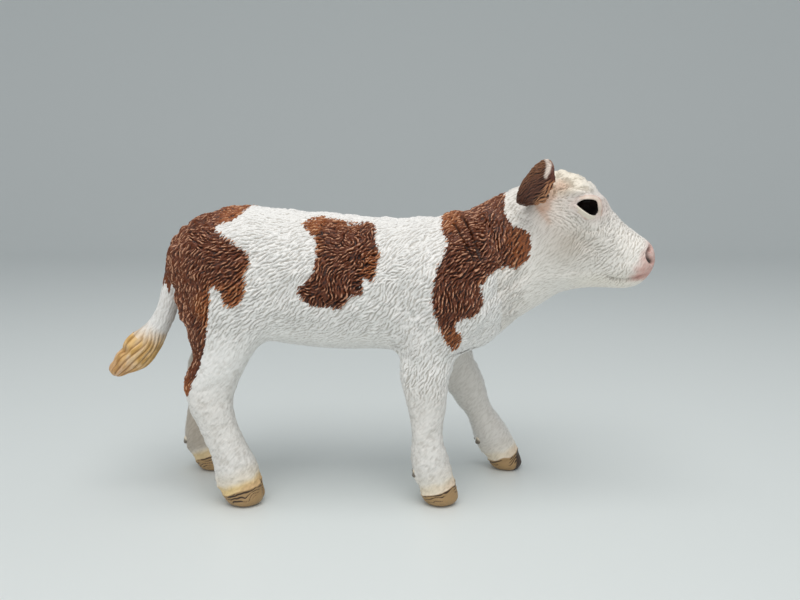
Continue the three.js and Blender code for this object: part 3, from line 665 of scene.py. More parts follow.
def mixed(tree, amount, a, b, way="MIX"):  # colours a and b, each a colour or a socket
    a, b = ((*value, 1.0) if isinstance(value, tuple) else value for value in (a, b))
    return added(tree, "Mix", {0: amount, 6: a, 7: b}, data_type="RGBA", blend_type=way)[2]


def measured(tree, name):  # a value that the mesh carries
    return added(tree, "Attribute", {}, attribute_name=name)["Fac"]


def noiseNode(tree, vector, scale, detail=2.0, output="Fac"):  # scale is in waves to a metre
    return added(tree, "TexNoise", {"Vector": vector, "Scale": scale, "Detail": detail})[output]


def hairGroup():
    # Fine combed lines: noise stretched along the hair, which leans in the side view. The place is
    # bent a little by another noise first.
    group = bpy.data.node_groups.new("fine hair", "ShaderNodeTree")
    for label in ("Lines", "Mottle"):
        group.interface.new_socket(label, in_out="OUTPUT", socket_type="NodeSocketFloat")
    out = group.nodes.new("NodeGroupOutput")
    place = added(group, "TexCoord", {})["Object"]
    wave = noiseNode(group, place, 500, output="Color")
    bent = added(group, "VectorMath", {0: wave, 1: (0.0009, 0.0009, 0.0009), 2: place},
                 operation="MULTIPLY_ADD")[0]
    leant = added(group, "Mapping", {"Vector": bent, "Rotation": (0, -math.radians(48), 0),
                                     "Scale": (0.0011, 0.0004, 0.00026)}, vector_type="TEXTURE")[0]
    lines = noiseNode(group, leant, 1.0, 1.0)
    group.links.new(mapped(group, lines, 0.3, 0.7), out.inputs["Lines"])
    group.links.new(noiseNode(group, place, 260, 3.0), out.inputs["Mottle"])
    return group


fineHair = hairGroup()

paint = {
    "white": (0.85, 0.84, 0.815),
    "faceWhite": (0.83, 0.80, 0.75),
    "grooveShade": (0.60, 0.575, 0.54),  # painted shade: what a groove takes off the white
    "brown": (0.132, 0.031, 0.0075),
    # painted shade in the brown grooves; the ridge colours are painted highlights
    "brownGrooveShade": (0.018, 0.005, 0.003),
    "brownRidgeHighlight": (0.62, 0.325, 0.195),
    "rust": (0.29, 0.083, 0.019),
    "rustRidgeHighlight": (0.66, 0.35, 0.18),
    "cream": (0.78, 0.57, 0.25),
    "tan": (0.60, 0.30, 0.16),
    # painted shade between the legs and on the cheek, with a beige tone on the cheek; darker lower legs
    "shadeAndTone": (0.46, 0.41, 0.345),
    "crown": (0.92, 0.84, 0.69),
    "tuft": (0.82, 0.50, 0.155),
    # painted shade between the tail's locks, and darker streaks
    "tuftShadeAndStreak": (0.23, 0.095, 0.024),
    "pink": (0.62, 0.325, 0.275),
    "horn": (0.375, 0.24, 0.112),
    "hornRing": (0.05, 0.028, 0.016),
    # dark paint on the dewclaw tips, and painted shade in creases, nostrils, the mouth's line and the
    # hoof's cleft
    "inkAndShade": (0.02, 0.012, 0.01),
}


def vinyl(name, roughness, bump):
    # New material with a Principled shader, and a bump that takes its height from the caller.
    material = bpy.data.materials.new(name)
    material.use_nodes = True
    tree = material.node_tree
    shader = tree.nodes["Principled BSDF"]
    shader.inputs["Roughness"].default_value = roughness
    shader.inputs["Specular IOR Level"].default_value = 0.35
    relief = tree.nodes.new("ShaderNodeBump")
    relief.inputs["Distance"].default_value = bump * mm
    relief.inputs["Strength"].default_value = 1.0
    tree.links.new(relief.outputs["Normal"], shader.inputs["Normal"])
    return material, tree, shader, relief.inputs["Height"]


def hairNode(tree):  # the lines and the mottle of the fine hair, in a material
    hair = tree.nodes.new("ShaderNodeGroup")
    hair.node_tree = fineHair
    return hair.outputs


def coatMaterial(name, fineDepth=0.04, whitePaint=paint["white"], creamPaint=paint["cream"]):
    # White vinyl with brown paint inside the patches; cream, pink, horn, ink and painted shade where
    # the mesh says; grooves painted darker as shade, ridges painted lighter as highlights, rust along
    # the patches' edges.
    material, tree, shader, height = vinyl(name, 0.5, fineDepth)
    lines, mottle = hairNode(tree)
    relief = measured(tree, "relief")
    edge = maths(tree, "ADD", measured(tree, "patch"), -0.17)
    inPatch = mapped(tree, maths(tree, "MULTIPLY_ADD", lines, 0.35, edge), -0.06, 0.06)
    # painted shade: the grooves of the relief and of the fine lines darken the paint
    grooveShade = mapped(tree, maths(tree, "MULTIPLY_ADD", lines, -0.45, relief), -1.1, 0.05, 1.0, 0.0)
    # painted shade in the tail's locks, with darker streaks
    lock = maths(tree, "MULTIPLY", measured(tree, "lock"), 0.72)
    white = whitePaint
    # painted shade comes in here with the cheek and leg darkening and the tail's lock shading
    for amount, colour in ((measured(tree, "cream"), creamPaint), (measured(tree, "tan"), paint["tan"]),
                           (measured(tree, "shadeAndTone"), paint["shadeAndTone"]), (lock, paint["tuftShadeAndStreak"]),
                           (measured(tree, "pink"), paint["pink"])):
        white = mixed(tree, amount, white, colour)
    white = mixed(tree, maths(tree, "MULTIPLY", grooveShade, 0.88), white, paint["grooveShade"], "MULTIPLY")
    rusty = measured(tree, "rust")
    # painted highlight: the ridges lighten the brown and rust paint
    ridgeHighlight = maths(tree, "MULTIPLY", mapped(tree, relief, 0.25, 0.9), mapped(tree, lines, 0.2, 0.7))
    brown = mixed(tree, maths(tree, "MULTIPLY", ridgeHighlight, 0.95),
                  mixed(tree, rusty, paint["brown"], paint["rust"]),
                  mixed(tree, rusty, paint["brownRidgeHighlight"], paint["rustRidgeHighlight"]))
    brown = mixed(tree, grooveShade, brown, paint["brownGrooveShade"])
    rings = mapped(tree, measured(tree, "ring"), 0.25, 0.75)
    colour = mixed(tree, mapped(tree, measured(tree, "horn"), -0.1, 0.1),
                   mixed(tree, inPatch, white, brown),
                   mixed(tree, rings, paint["horn"], paint["hornRing"]))
    # dark paint, and painted shade in creases and hollows
    colour = mixed(tree, measured(tree, "inkAndShade"), colour, paint["inkAndShade"])
    tree.links.new(colour, shader.inputs["Base Color"])
    tree.links.new(maths(tree, "MULTIPLY_ADD", mottle, 0.2, 0.28), shader.inputs["Roughness"])
    tree.links.new(lines, height)
    return material


# Trunk, head, legs and tail

pieces = {
    # spacing of the points, girth that sets their number in a ring, and for the torso: sections of
    # the skin, rows that neighbours share, how far the skin runs on under legs and neck, its dive
    "torso": {"slot": "coat", "spacing": 0.1, "girth": 61, "sections": 6, "shared": 14, "lap": 0.8,
              "dive": 0.35},
    "head": {"slot": "face", "spacing": 0.125, "girth": 42},
    "legs": {"slot": "legs", "spacing": 0.105, "girth": 19},
    "tail": {"slot": "tail", "spacing": 0.11, "girth": 12},
}


def dress(name, piece, material, nodes):
    piece.data.materials.append(material)
    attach(piece, "root")
    if nodes:
        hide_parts(*nodes)
    print("made", name, len(piece.data.polygons), "faces")


def blank(points):  # marks of a piece without any
    labels = ("cream", "tan", "shadeAndTone", "pink", "ring", "inkAndShade", "rust", "lock")
    marks = {label: np.zeros(points.shape[:-1]) for label in labels}
    marks["horn"] = np.full(points.shape[:-1], -4.0)
    return marks


def finish(name, points, material, nodes, marks, face=None):
    # Adds the coat's relief to a wrapped grid and makes the piece.
    normals = normalsOf(points, points - points.mean(1, keepdims=True))
    values = {**blank(points), **marks}
    quiet = values.pop("quiet")
    depthMap = np.minimum(patchDepth(points), values.pop("patchable", 9.0))
    nowhere = np.zeros(points.shape[:-1])
    height, signal = coatRelief(points, normals, depthMap, nowhere if face is None else face,
                                values.pop("curly", nowhere))
    points = points + normals * (height * quiet)[..., None]
    # the signal is painted as shade in the grooves and as highlight on the ridges
    values["relief"] = signal * quiet
    values["patch"] = depthMap + 0.2 * signal
    values["rust"] = rust(points, depthMap)
    dress(name, gridMesh(name, points, values), material, nodes)


def overlapped(far, past, dive, widest=np.inf):
    # Skin that runs on into its neighbour. past says how far each ring lies beyond the joint: there
    # the skin gets at most 3 % wider than at the joint, or than widest times its middle width there,
    # and it sinks in as past goes from one end of dive to the other.
    atJoint = far[np.argmin(np.abs(past))]
    atJoint = np.minimum(atJoint, np.median(atJoint) * widest)
    sunk = 0.4 * ramp(past, *dive)[:, None]
    return np.where(past[:, None] > 0, np.minimum(far, atJoint * 1.03), far) - sunk


def tailStub(points):  # only the tail's root is left, inside the rump
    return np.stack([np.maximum(points[:, 0], -27.7), points[:, 1],
                     np.maximum(points[:, 2], 28.5)], -1)


earPose = {
    "root": np.array([22.75, 4.03, 41.3]),  # in the head's own axes, left ear
    "way": unit(np.array([0.147, 0.94, 0.307])),
}


def earStub(points):  # only the ear's root is left, inside the head
    local = toHead(points)
    side = np.sign(local[:, 1:2])
    mirrored = local * np.concatenate([np.ones_like(side), side, np.ones_like(side)], 1)
    out = ((mirrored - earPose["root"]) @ earPose["way"] - 0.4).clip(0)
    mirrored = mirrored - out[:, None] * earPose["way"]
    mirrored[:, 1] *= side[:, 0]
    return fromHead(mirrored)


bodyForm = fuse("form", ["torso", "head", "tail", "ear_right", "ear_left", "eye_right", "eye_left",
                         *legNames],
                {"tail": tailStub, "ear_right": earStub, "ear_left": earStub})
tailForm = fuse("tail form", ["tail"], {})
print("fused", len(bodyForm.data.polygons), "faces")


def makeTorso(material):
    # Rays out of a level line, stopped by planes just past the joints of legs and neck. Then the
    # forms are carved, the back is brought under its outline, and the creases are pressed in.
    settings = pieces["torso"]
    low, high = torsoBox
    line = [(low[0] + 8.0, middleY, 30.3), (-12, middleY, 29.6), (0, middleY, 29.6),
            (high[0] - 4.5, middleY, 30.4)]
    middle, direction = rays(line, settings["spacing"], settings["girth"], (True, True))
    far = reach(bodyForm, middle, direction)
    lap = settings["lap"]
    under = toPlane(middle, direction, np.array([0, 0, legJoint - lap]), np.array([0, 0, -1.0]))
    ahead = toPlane(middle, direction, neckJoint["place"] + neckJoint["way"] * lap,
                    neckJoint["way"])
    far = np.minimum(np.minimum(far, under), ahead)
    points = middle[:, None] + direction * far[..., None]
    beyond = (points - neckJoint["place"]) @ neckJoint["way"]
    sink = np.maximum(ramp(legJoint - points[..., 2], -0.05, lap), ramp(beyond, 0, lap))
    points = tucked(points - direction * (settings["dive"] * sink)[..., None])
    normals = normalsOf(points, direction)
    points = points + normals * carve(points, bodyForms)[..., None]
    points = settled(points, points[..., 0], points[..., 1] - middleY, "back")
    marks, fold = foldMarks(points)
    points = points - normals * fold[..., None]
    # The skin is made in sections along the body. Each runs on under its neighbour and dives.
    rows, lap = len(points), settings["shared"]
    cuts = np.linspace(0, rows, settings["sections"] + 1).astype(int)
    for number, (first, last) in enumerate(zip(cuts[:-1], cuts[1:])):
        start, stop = max(first - lap, 0), min(last + 1 + lap, rows)
        row = np.arange(start, stop)
        dive = np.maximum(ramp(first - row, 0, lap), ramp(row - last, 0, lap)) * settings["dive"]
        part = points[start:stop] - normals[start:stop] * dive[:, None, None]
        partMarks = {label: mark[start:stop] for label, mark in marks.items()}
        finish("torso_coat_%d" % (number + 1), part, material, ["torso"],
               partMarks)


def foldMarks(points):  # painted shade, calm and depth of the creases, each a bell across its line
    fold = np.zeros(points.shape[:-1])
    for line in creases["lines"]:
        fold = np.maximum(fold, bell(toCurve(points, line, 12), creases["width"]))
    fold = fold * (points[..., 1] < middleY - 2)
    return {"inkAndShade": 0.9 * fold, "quiet": 1 - 0.9 * fold}, creases["depth"] * fold


headForms = {
    "cheek": (24.2, 33.5, 3.2, 2.6, 0, 0.35),
    "jaw edge": (26.0, 30.3, 4.5, 0.7, 5, 0.2),
    "under the cheek": (28.6, 34.6, 2.2, 0.8, -35, -0.3),
    "brow": (27.6, 41.5, 1.8, 0.7, -5, 0.4),
    "round the eye": (28.2, 39.2, 2.3, 1.9, 0, 0.3),
    "tear furrow": (31.2, 37.0, 1.6, 0.5, -38, -0.2),
    "temple": (24.8, 39.6, 1.0, 1.6, 0, -0.25),
    "lip": (34.0, 31.4, 1.6, 0.8, 5, 0.3),
    "muzzle": (37.8, 32.4, 1.3, 1.9, 0, 0.27),
    "chin": (34.4, 29.4, 2.4, 0.8, 3, 0.2),
    "nostril wing": (35.7, 34.2, 0.9, 0.7, -30, 0.35),
}

mouth = {
    "line": [(30.6, 30.9), (31.8, 30.2), (33.4, 30.0), (35.0, 30.3), (36.6, 30.9), (38.5, 31.2)],
    "depth": 0.22,
    "width": 0.2,
}

nostril = {
    "line": [(36.6, 34.2), (36.3, 33.7), (36.35, 33.0), (36.8, 32.4)],
    "depth": 0.55,
    "width": 0.36,
}

eyeFolds = {  # creases above and below the eye: line, width and depth
    "lid": ([(26.2, 39.9), (27.0, 40.75), (27.9, 41.15), (28.9, 41.2), (29.7, 40.8)], 0.2, 0.16),
    "bag": ([(27.0, 37.6), (27.8, 36.7), (28.8, 36.35), (29.8, 36.5), (30.5, 37.1)], 0.22, 0.14),
    "corner": ([(29.4, 37.6), (30.0, 37.0), (30.9, 36.4)], 0.12, 0.08),
}

eye = {
    # corners of the opening between the lids, from the back corner over the top
    "opening": [(26.8, 39.88), (27.4, 40.3), (28.2, 40.43), (29.0, 40.38), (29.48, 40.1),
                (29.66, 39.4), (29.68, 38.8), (29.35, 38.33), (28.62, 38.42), (27.52, 39.14)],
    "ball": 1.62,
    "place": np.array([28.25, 3.7, 39.42]),
    "lidHeight": 0.19,
    "lidWidth": 0.3,
    "lidRidge": 0.1,  # a ridge along the lid's inner edge, added to its height
    "lidSlope": 0.55,  # how steeply the lid falls off outwards
    "lidLift": 0.02,  # how far it lies over the ball
    "lowerLid": (39.8, 39.6, 39.0),  # it widens from the first height down, and is pale from the next
    "socket": 1.0,  # depth of the hollow behind the lids
}
opening = smoothLine(eye["opening"], 96, closed=True)


facePaint = {  # places in the head's own axes: x and z, or x, y and z
    "bare": (34.6, 31.0, 0.42),  # the pink skin's edge: a place, and how it slants back above it
    "ear": np.array([23.6, 4.0, 40.6]),
    "beforeEye": ((30.6, 39.6), (0.8, 1.6)),
    "cheek": ((26.2, 34.8), (3.4, 3.0)),
    "beforeEar": np.array([(25.2, 42.1), (24.1, 41.6), (23.4, 40.6), (23.0, 39.4)]),
    "underEar": np.array([(22.1, 39.5), (22.8, 38.7), (23.6, 37.6)]),
}


def makeHead(material):
    # Rays out of a line from the neck to the muzzle. The forms are carved, then mouth, nostrils and
    # folds are pressed in by a bell of the distance to their lines, and the paint's marks are set.
    settings = pieces["head"]
    start = neckJoint["place"] - neckJoint["way"] * 1.4
    along = [fromHead(np.array(place)) for place in ((27.0, 0, 35.6), (30.6, 0, 34.4), (33.7, 0, 33.0))]
    line = [start, (18.2, middleY - 0.1, 32.0), (22.0, middleY - 1.0, 34.4), *along]
    middle, direction = rays(line, settings["spacing"], settings["girth"], (False, True))
    past = (neckJoint["place"] - middle) @ neckJoint["way"]
    far = overlapped(reach(bodyForm, middle, direction), past, (0.45, 1.2))
    points = middle[:, None] + direction * far[..., None]
    normals = normalsOf(points, direction)
    local = toHead(points)
    onFace = ramp(local[..., 0], 19.5, 22.5)
    points = points + normals * (carve(local, headForms) * onFace
                                 + carve(points, bodyForms) * (1 - onFace))[..., None]
    points = settled(points, np.minimum(points[..., 0], 22), points[..., 1] - middleY, "back")
    points = settled(points, np.maximum(local[..., 0], 20), local[..., 1], "crown")
    normals = normalsOf(points, direction)
    local = toHead(points)
    x, y, z = xyz(local)
    onSide = np.abs(y) > 2
    marks, fold = foldMarks(points)
    # mouth, nostrils and the hollow behind the eyelids
    toMouth = toCurve(local, mouth["line"], 24)
    toNostril = toCurve(local, nostril["line"], 12)
    toLids = toSegments(local, np.concatenate([opening, opening[:1]]))
    slit = bell(toMouth, mouth["width"]) * ramp(x, 30.4, 32.0) * ramp(x, 36.8, 35.2)
    hole = np.exp(-(toNostril / nostril["width"]) ** 4) * ramp(np.abs(y), 0.9, 1.3)
    inside = insideLine(local, opening) & onSide
    socket = np.where(inside, ramp(toLids, 0.0, 0.25), 0.0)
    sunk = fold + mouth["depth"] * slit + nostril["depth"] * hole + eye["socket"] * socket
    for line, width, depth in eyeFolds.values():
        sunk = sunk + depth * bell(toCurve(local, line, 24), width) * onSide
    points = points - normals * sunk[..., None]
    # paint
    bare = facePaint["bare"]
    nose = ramp((x - bare[0]) - (z - bare[1]) * bare[2] + 0.3 * noise(points, 0.7, 81), -0.9, 0.8)
    nose = nose * ramp(z, 29.6, 30.4) * ramp(z, 36.0, 34.6)
    nearEye = np.where(inside, 1.0, bell(toLids, 0.75)) * onSide
    crown = ramp(x, 21.5, 23.5) * ramp(x, 31.0, 29.5) * ramp(z - 0.15 * (x - 24), 40.2, 41.3)
    root = bell(np.linalg.norm(np.abs(local) - facePaint["ear"], axis=-1), 2.0)
    mottled = 0.8 + 0.2 * noise(points, 0.45, 83)
    marks["pink"] = np.clip(0.9 * nose * mottled + 0.25 * nearEye
                            + 0.25 * bell(toMouth, 0.5) * ramp(x, 33, 35)
                            + 0.2 * spot(local, *facePaint["beforeEye"]) + 0.15 * root, 0, 1)
    chin = ramp(z, 32.0, 29.5) * ramp(x, 25, 29)
    marks["cream"] = np.clip(0.7 * (crown * ramp(x, 30.5, 26.5)) + 0.3 * root + 0.3 * chin, 0, 1)
    beforeEar = toSegments(local, facePaint["beforeEar"])
    underEar = toSegments(local, facePaint["underEar"])
    marks["tan"] = (0.5 * bell(beforeEar + 0.3 * noise(points, 0.7, 82), 0.75)
                    + 0.3 * bell(underEar + 0.2 * noise(points, 0.6, 84), 0.35)
                    + 0.14 * bell(underEar, 1.6)) * ramp(np.abs(y), 1.0, 2.2)
    # painted shade on the cheek under the brow, with a warmer beige tone
    marks["shadeAndTone"] = 0.75 * spot(local, *facePaint["cheek"])
    # dark paint with painted shade inside the nostrils, darkest at their lower end; painted shade in the
    # mouth's line
    inNostril = (0.55 + 0.4 * ramp(z, 33.4, 32.7)) * hole * ramp(toNostril, 0.42, 0.2)
    marks["inkAndShade"] = np.clip(marks["inkAndShade"] + inNostril + 0.3 * slit, 0, 1)
    wrinkled = ramp(x + 0.6 * (z - 34), 25.5, 29.5)
    wrinkled = wrinkled * (1 - 0.75 * ramp(x, 32.6, 34.2) * ramp(z, 35.5, 33.5))
    marks["quiet"] = (marks["quiet"] * (1 - 0.8 * np.maximum(nose, 0.9 * nearEye))
                      * (1 + 0.4 * crown) * (1 - 0.6 * (1 - wrinkled) * onFace * (1 - crown)))
    marks["curly"] = crown
    finish("head_coat", points, material, ["head"], marks, onFace * (1 - crown))


hoof = {
    "top": 2.3,  # height of the hair line over the ground in the middle of the hoof
    "rise": 0.34,  # how steeply the hair line climbs towards the toe
    "cleftWidth": 0.3,
    "cleftDepth": 0.8,
    "sole": 1.3,  # radius of the sole's edge
    "streak": 0.42,  # from one dark streak in the horn to the next
    "claws": {"leg_front_left": 5.7, "leg_rear_left": 5.2, "leg_rear_right": 4.5},  # height, else 5
    "clawSize": np.array([0.55, 0.45, 0.68]),
    "clawRings": (22, 28),  # rings of points, and points in a ring
    "toe": {"leg_front_left": 1.3, "leg_rear_right": 2.6},  # dark from here forwards
}


def crossing(node, z):  # where a level plane cuts the edges of a casting
    points, faces = casting(node)
    a, b = points[faces].reshape(-1, 3), points[np.roll(faces, -1, 1)].reshape(-1, 3)
    cut = (a[:, 2] - z) * (b[:, 2] - z) < 0
    a, b = a[cut], b[cut]
    return a + (b - a) * ((z - a[:, 2:]) / (b[:, 2:] - a[:, 2:]))


def legLine(node):  # middle line of a leg, from its plug down to the middle of its hoof
    line = []
    for z in (21.2, 18.2, 15.0, 12.0, 9.0, 6.4, 4.2, 2.0):
        cut = crossing(node, z)
        line.append((cut.min(0) + cut.max(0)) / 2)
    return line


def hornStreaks(points, horn):
    # Dark streaks: broken wavy lines along the upper horn, and a line under the hair.
    wavy = horn + 0.35 * noise(points, 1.3, 52) + 0.1 * noise(points, 0.5, 53)
    level = (wavy + 0.25 * noise(points, 0.9, 57) - 0.22) / hoof["streak"]
    away = np.abs(level - level.round()) * hoof["streak"]
    thin = 0.05 + 0.08 * ramp(noise(points, 1.5, 56), -0.3, 0.6)
    broken = ramp(noise(points, 1.9, 55), -0.45, -0.1) * ramp(wavy, 1.75, 1.25)
    topLine = bell(wavy - 0.22, 0.13) * ramp(noise(points, 1.6, 54), -0.6, 0.1)
    return np.maximum(bell(away, thin) * broken * ramp(points[..., 2], 0.35, 0.9), topLine)


def makeLeg(node, material):
    # Rays out of the leg's middle line, down to the ground. The hair line over the hoof climbs with
    # the way forwards, a rim stands out along it, and the cleft is a bell across the hoof.
    settings = pieces["legs"]
    line = legLine(node)
    middle, direction = rays(line, settings["spacing"], settings["girth"], (False, True))
    far = reach(bodyForm, middle, direction)
    far = overlapped(far, middle[:, 2] - legJoint, (0.45, 1.1), 1.5)
    ground = toPlane(middle, direction, np.zeros(3), np.array([0, 0, -1.0]))
    points = tucked(middle[:, None] + direction * np.minimum(far, ground)[..., None])
    normals = normalsOf(points, direction)
    toe = np.array(line[-1])
    swell = carve(points, bodyForms) * ramp(points[..., 2], 10, 14)
    points = points + normals * swell[..., None]
    x, y, z = xyz(points)
    forward = x - toe[0]
    cleft = bell(y - toe[1], hoof["cleftWidth"]) * ramp(z, 4.2, 2.6)
    cleft = cleft * np.maximum(ramp(forward, 0.2, 1.2), 0.35 * ramp(-forward, 1.6, 2.4))
    horn = hoof["top"] + hoof["rise"] * forward + 0.25 * noise(points, 1.1, 51) - z
    rim = 0.12 * bell(horn - 0.15, 0.3)
    toeDark = ramp(forward, 0, 1.2) * ramp(forward - hoof["toe"].get(node, 9), 0, 0.8)
    rings = np.maximum(hornStreaks(points, horn), toeDark) * ramp(horn, 0.0, 0.12)
    onHorn = ramp(horn, 0.0, 0.25)
    sole = ramp(z, 0.02, 0.25)
    sunk = (cleft * hoof["cleftDepth"] + 0.1 * rings * onHorn - rim) * sole
    points = points - normals * sunk[..., None]
    points[..., 2] = np.maximum(points[..., 2], 0.0)
    # the sole's edge is rounded: low points are drawn towards the hoof's middle
    under = np.clip(1 - points[..., 2] / hoof["sole"], 0, 1)
    tuck = hoof["sole"] * (1 - np.sqrt(1 - under ** 2 * 0.96))
    flat = points[..., :2] - toe[:2]
    span = np.linalg.norm(flat, axis=-1)
    points[..., :2] = toe[:2] + flat * np.clip(1 - tuck / np.maximum(span, 1.5), 0, 1)[..., None]
    near, hind = toe[1] < middleY, toe[0] < 0
    yellow = 1.0 if hind else 0.45  # the hind coronets are the yellower ones
    innerShade = 1.0 if hind and not near else 0.42  # painted shade on the leg's inner side
    lowerDarker = 0.25 if near else 0.0  # darker all round, lower down
    inward = -normals[..., 1] * np.sign(toe[1] - middleY)
    z = points[..., 2]
    marks = {
        "cream": yellow * (0.3 * ramp(horn, -3.8, -1.4) + 0.65 * ramp(horn, -1.7, -0.6)),
        "tan": 0.4 * yellow * ramp(horn, -1.4, -0.3) * ramp(forward, -1.0, 1.5),
        # painted shade on the inner side, and the near legs darker all round lower down
        "shadeAndTone": (innerShade * ramp(inward, -0.1, 0.7) * ramp(z, 22.5, 20.5)
                 + lowerDarker * ramp(z, 19.0, 14.0)) * (1 - 0.7 * ramp(horn, -2.4, -0.9)),
        "horn": horn,
        "ring": rings,
        # painted shade in the hoof's cleft
        "inkAndShade": 0.35 * ramp(cleft, 0.3, 0.9),
        "quiet": (1 - 0.9 * onHorn) * sole,
    }
    finish(node + "_coat", points, material, [node], marks)
    makeDewclaws(node, points, material)


def makeDewclaws(node, points, material):
    # Two small claws behind the fetlock: an ellipsoid, its rings drawn to a blunt lower tip.
    high = hoof["claws"].get(node, 5.0)
    ring = points[np.argmin(np.abs(points[..., 2].mean(1) - high))]
    back = ring[np.argmin(ring[:, 0])]
    width = np.ptp(ring[:, 1])
    for label, side in (("right", -1), ("left", 1)):
        place = back + np.array([0.5, side * width * 0.2, 0.0])
        a = np.linspace(0.05, np.pi - 0.05, hoof["clawRings"][0])[:, None]
        b = circle(hoof["clawRings"][1])
        ball = np.stack([np.sin(a) * np.cos(b), np.sin(a) * np.sin(b), np.cos(a) + 0 * b], -1)
        grid = place + ball * hoof["clawSize"] + np.array([-0.25, 0, 0]) * ramp(-ball[..., 2:], 0, 1)
        tip = ramp(place[2] + 0.2 - grid[..., 2] + (place[0] - grid[..., 0]) * 0.5, 0.0, 0.5)
        values = blank(grid)
        values["relief"] = np.zeros(grid.shape[:-1])
        values["patch"] = np.full(grid.shape[:-1], -4.0)
        values["cream"] = np.full(grid.shape[:-1], 0.4)
        values["inkAndShade"] = 0.8 * tip
        piece = gridMesh(node + "_dewclaw_" + label, grid, values)
        dress(piece.name, piece, material, [])


tuft = {
    "start": 0.55,  # share of the tail's length where the tuft's locks begin
    "locks": 16,
    "depth": 0.34,
    "notch": 0.6,
    "notchAt": ((-35.0, 19.9), (0.9, 0.55)),
    "patchEnd": 29.2,  # height where the rump's paint stops on the tail, in a fringe
    "strand": -28.2,  # one long strand of it hangs down here
    "point": (0.65, np.array([-0.84, 0.0, -0.54])),  # how far the end is drawn out, and which way
}


def makeTail(material):
    # Rays out of the tail's line. Towards the end the skin is combed into locks by the sine of the
    # angle, swirled along the length, and the end is drawn out to a point.
    settings = pieces["tail"]
    line = []
    for z in (31.6, 28.6, 25.6, 22.8):
        cut = crossing("tail", z)
        cut = cut[cut[:, 0] < -24.5]
        line.append((cut.min(0) + cut.max(0)) / 2)
    line += [(-31.4, line[-1][1], 20.6), (-33.8, line[-1][1], 18.4)]
    middle, direction = rays(line, settings["spacing"], settings["girth"], (True, True))
    far = reach(tailForm, middle, direction)
    rows = len(middle)
    share = np.linspace(0, 1, rows)[:, None]
    angle = circle(direction.shape[1])
    swirl = 1.3 * np.sin(2 * angle + 6 * share) + 0.9 * np.sin(3 * angle - 11 * share)
    lock = tuft["locks"] * angle + 3.0 * share + swirl
    combed = 1 - np.abs(np.sin(lock / 2)) ** 0.6
    fine = np.sin(lock * 3.1 + 2 * np.sin(angle * 2))
    grow = ramp(share, tuft["start"], tuft["start"] + 0.18)
    far = far * (1 + 0.05 * grow) - grow * (tuft["depth"] * combed + 0.05 * fine)
    far = far + tuft["point"][0] * ramp(direction @ tuft["point"][1], 0.8, 1.0) ** 2
    points = middle[:, None] + direction * far[..., None]
    notch = spot(points, *tuft["notchAt"])
    points = points - direction * (tuft["notch"] * notch)[..., None]
    streak = noise(np.stack([4 * angle + 0 * share, 26 * share + 3 * angle, 0 * angle * share], -1),
                   1.0, 61)
    fringe = 0.6 * noise(points / np.array([0.35, 0.35, 1.6]), 1.0, 62)
    fringe = fringe + 1.3 * bell(points[..., 0] - tuft["strand"], 0.3)
    # painted shade in the grooves between the locks and in the notch, with streaks of darker paint
    shadeAndStreaks = 1.0 * ramp(combed, 0.28, 0.72) + 0.45 * ramp(streak, 0.1, 0.7) + 0.5 * notch
    marks = {
        "cream": np.clip(grow * (0.85 + 0.25 * streak), 0, 1),
        "tan": 0.45 * grow * ramp(share, 0.8, 0.97) * np.ones(points.shape[:-1]),
        "lock": grow * np.clip(shadeAndStreaks, 0, 1),
        "quiet": 0.3 - 0.2 * grow * np.ones(points.shape[:-1]),
        "patchable": points[..., 2] - tuft["patchEnd"] + fringe,
    }
    finish("tail_coat", points, material, ["tail"], marks)


# Ears: a deep scoop that opens to the front. Its section is part of an ellipse, thickened evenly and
# rounded at both rims; the section's width, its depth and its wall follow the length.

ear = {
    "way": unit(np.array([0.169, 0.92, 0.521])),
    "up": np.array([-0.065, 0.0, 0.978]),
    "length": 7.1,
    "curl": math.radians(76),  # half angle of the section
    "droop": 0.41,  # how far the scoop's back hangs, as a share of its depth
    "curve": (0.33, -0.2),  # how far the tip bends forwards and up
    "share": (0.0, 0.15, 0.35, 0.55, 0.75, 0.9, 0.97, 1.0),
    "width": (0.4, 0.7, 1.6, 2.5, 2.5, 1.7, 0.95, 0.2),
    "depth": (2.1, 2.9, 3.6, 3.3, 2.1, 1.0, 0.45, 0.1),
    "wall": (0.9, 0.8, 0.7, 0.6, 0.5, 0.4, 0.25, 0.1),
    "rows": 170,
    "columns": 300,
}


earPaint = {  # painted strips of the ear's back in the head's axes: line of x, z and half width
    "stripe": ([(22.95, 45.4), (23.4, 44.7), (23.35, 44.0), (23.1, 43.1)], 0.27),
    "red": ([(23.8, 44.3), (23.85, 43.3), (23.8, 42.5), (23.5, 41.9)], 0.42),
    "foot": ([(23.7, 41.9), (23.3, 41.2), (22.8, 40.4), (22.3, 40.0)], 0.62),
}


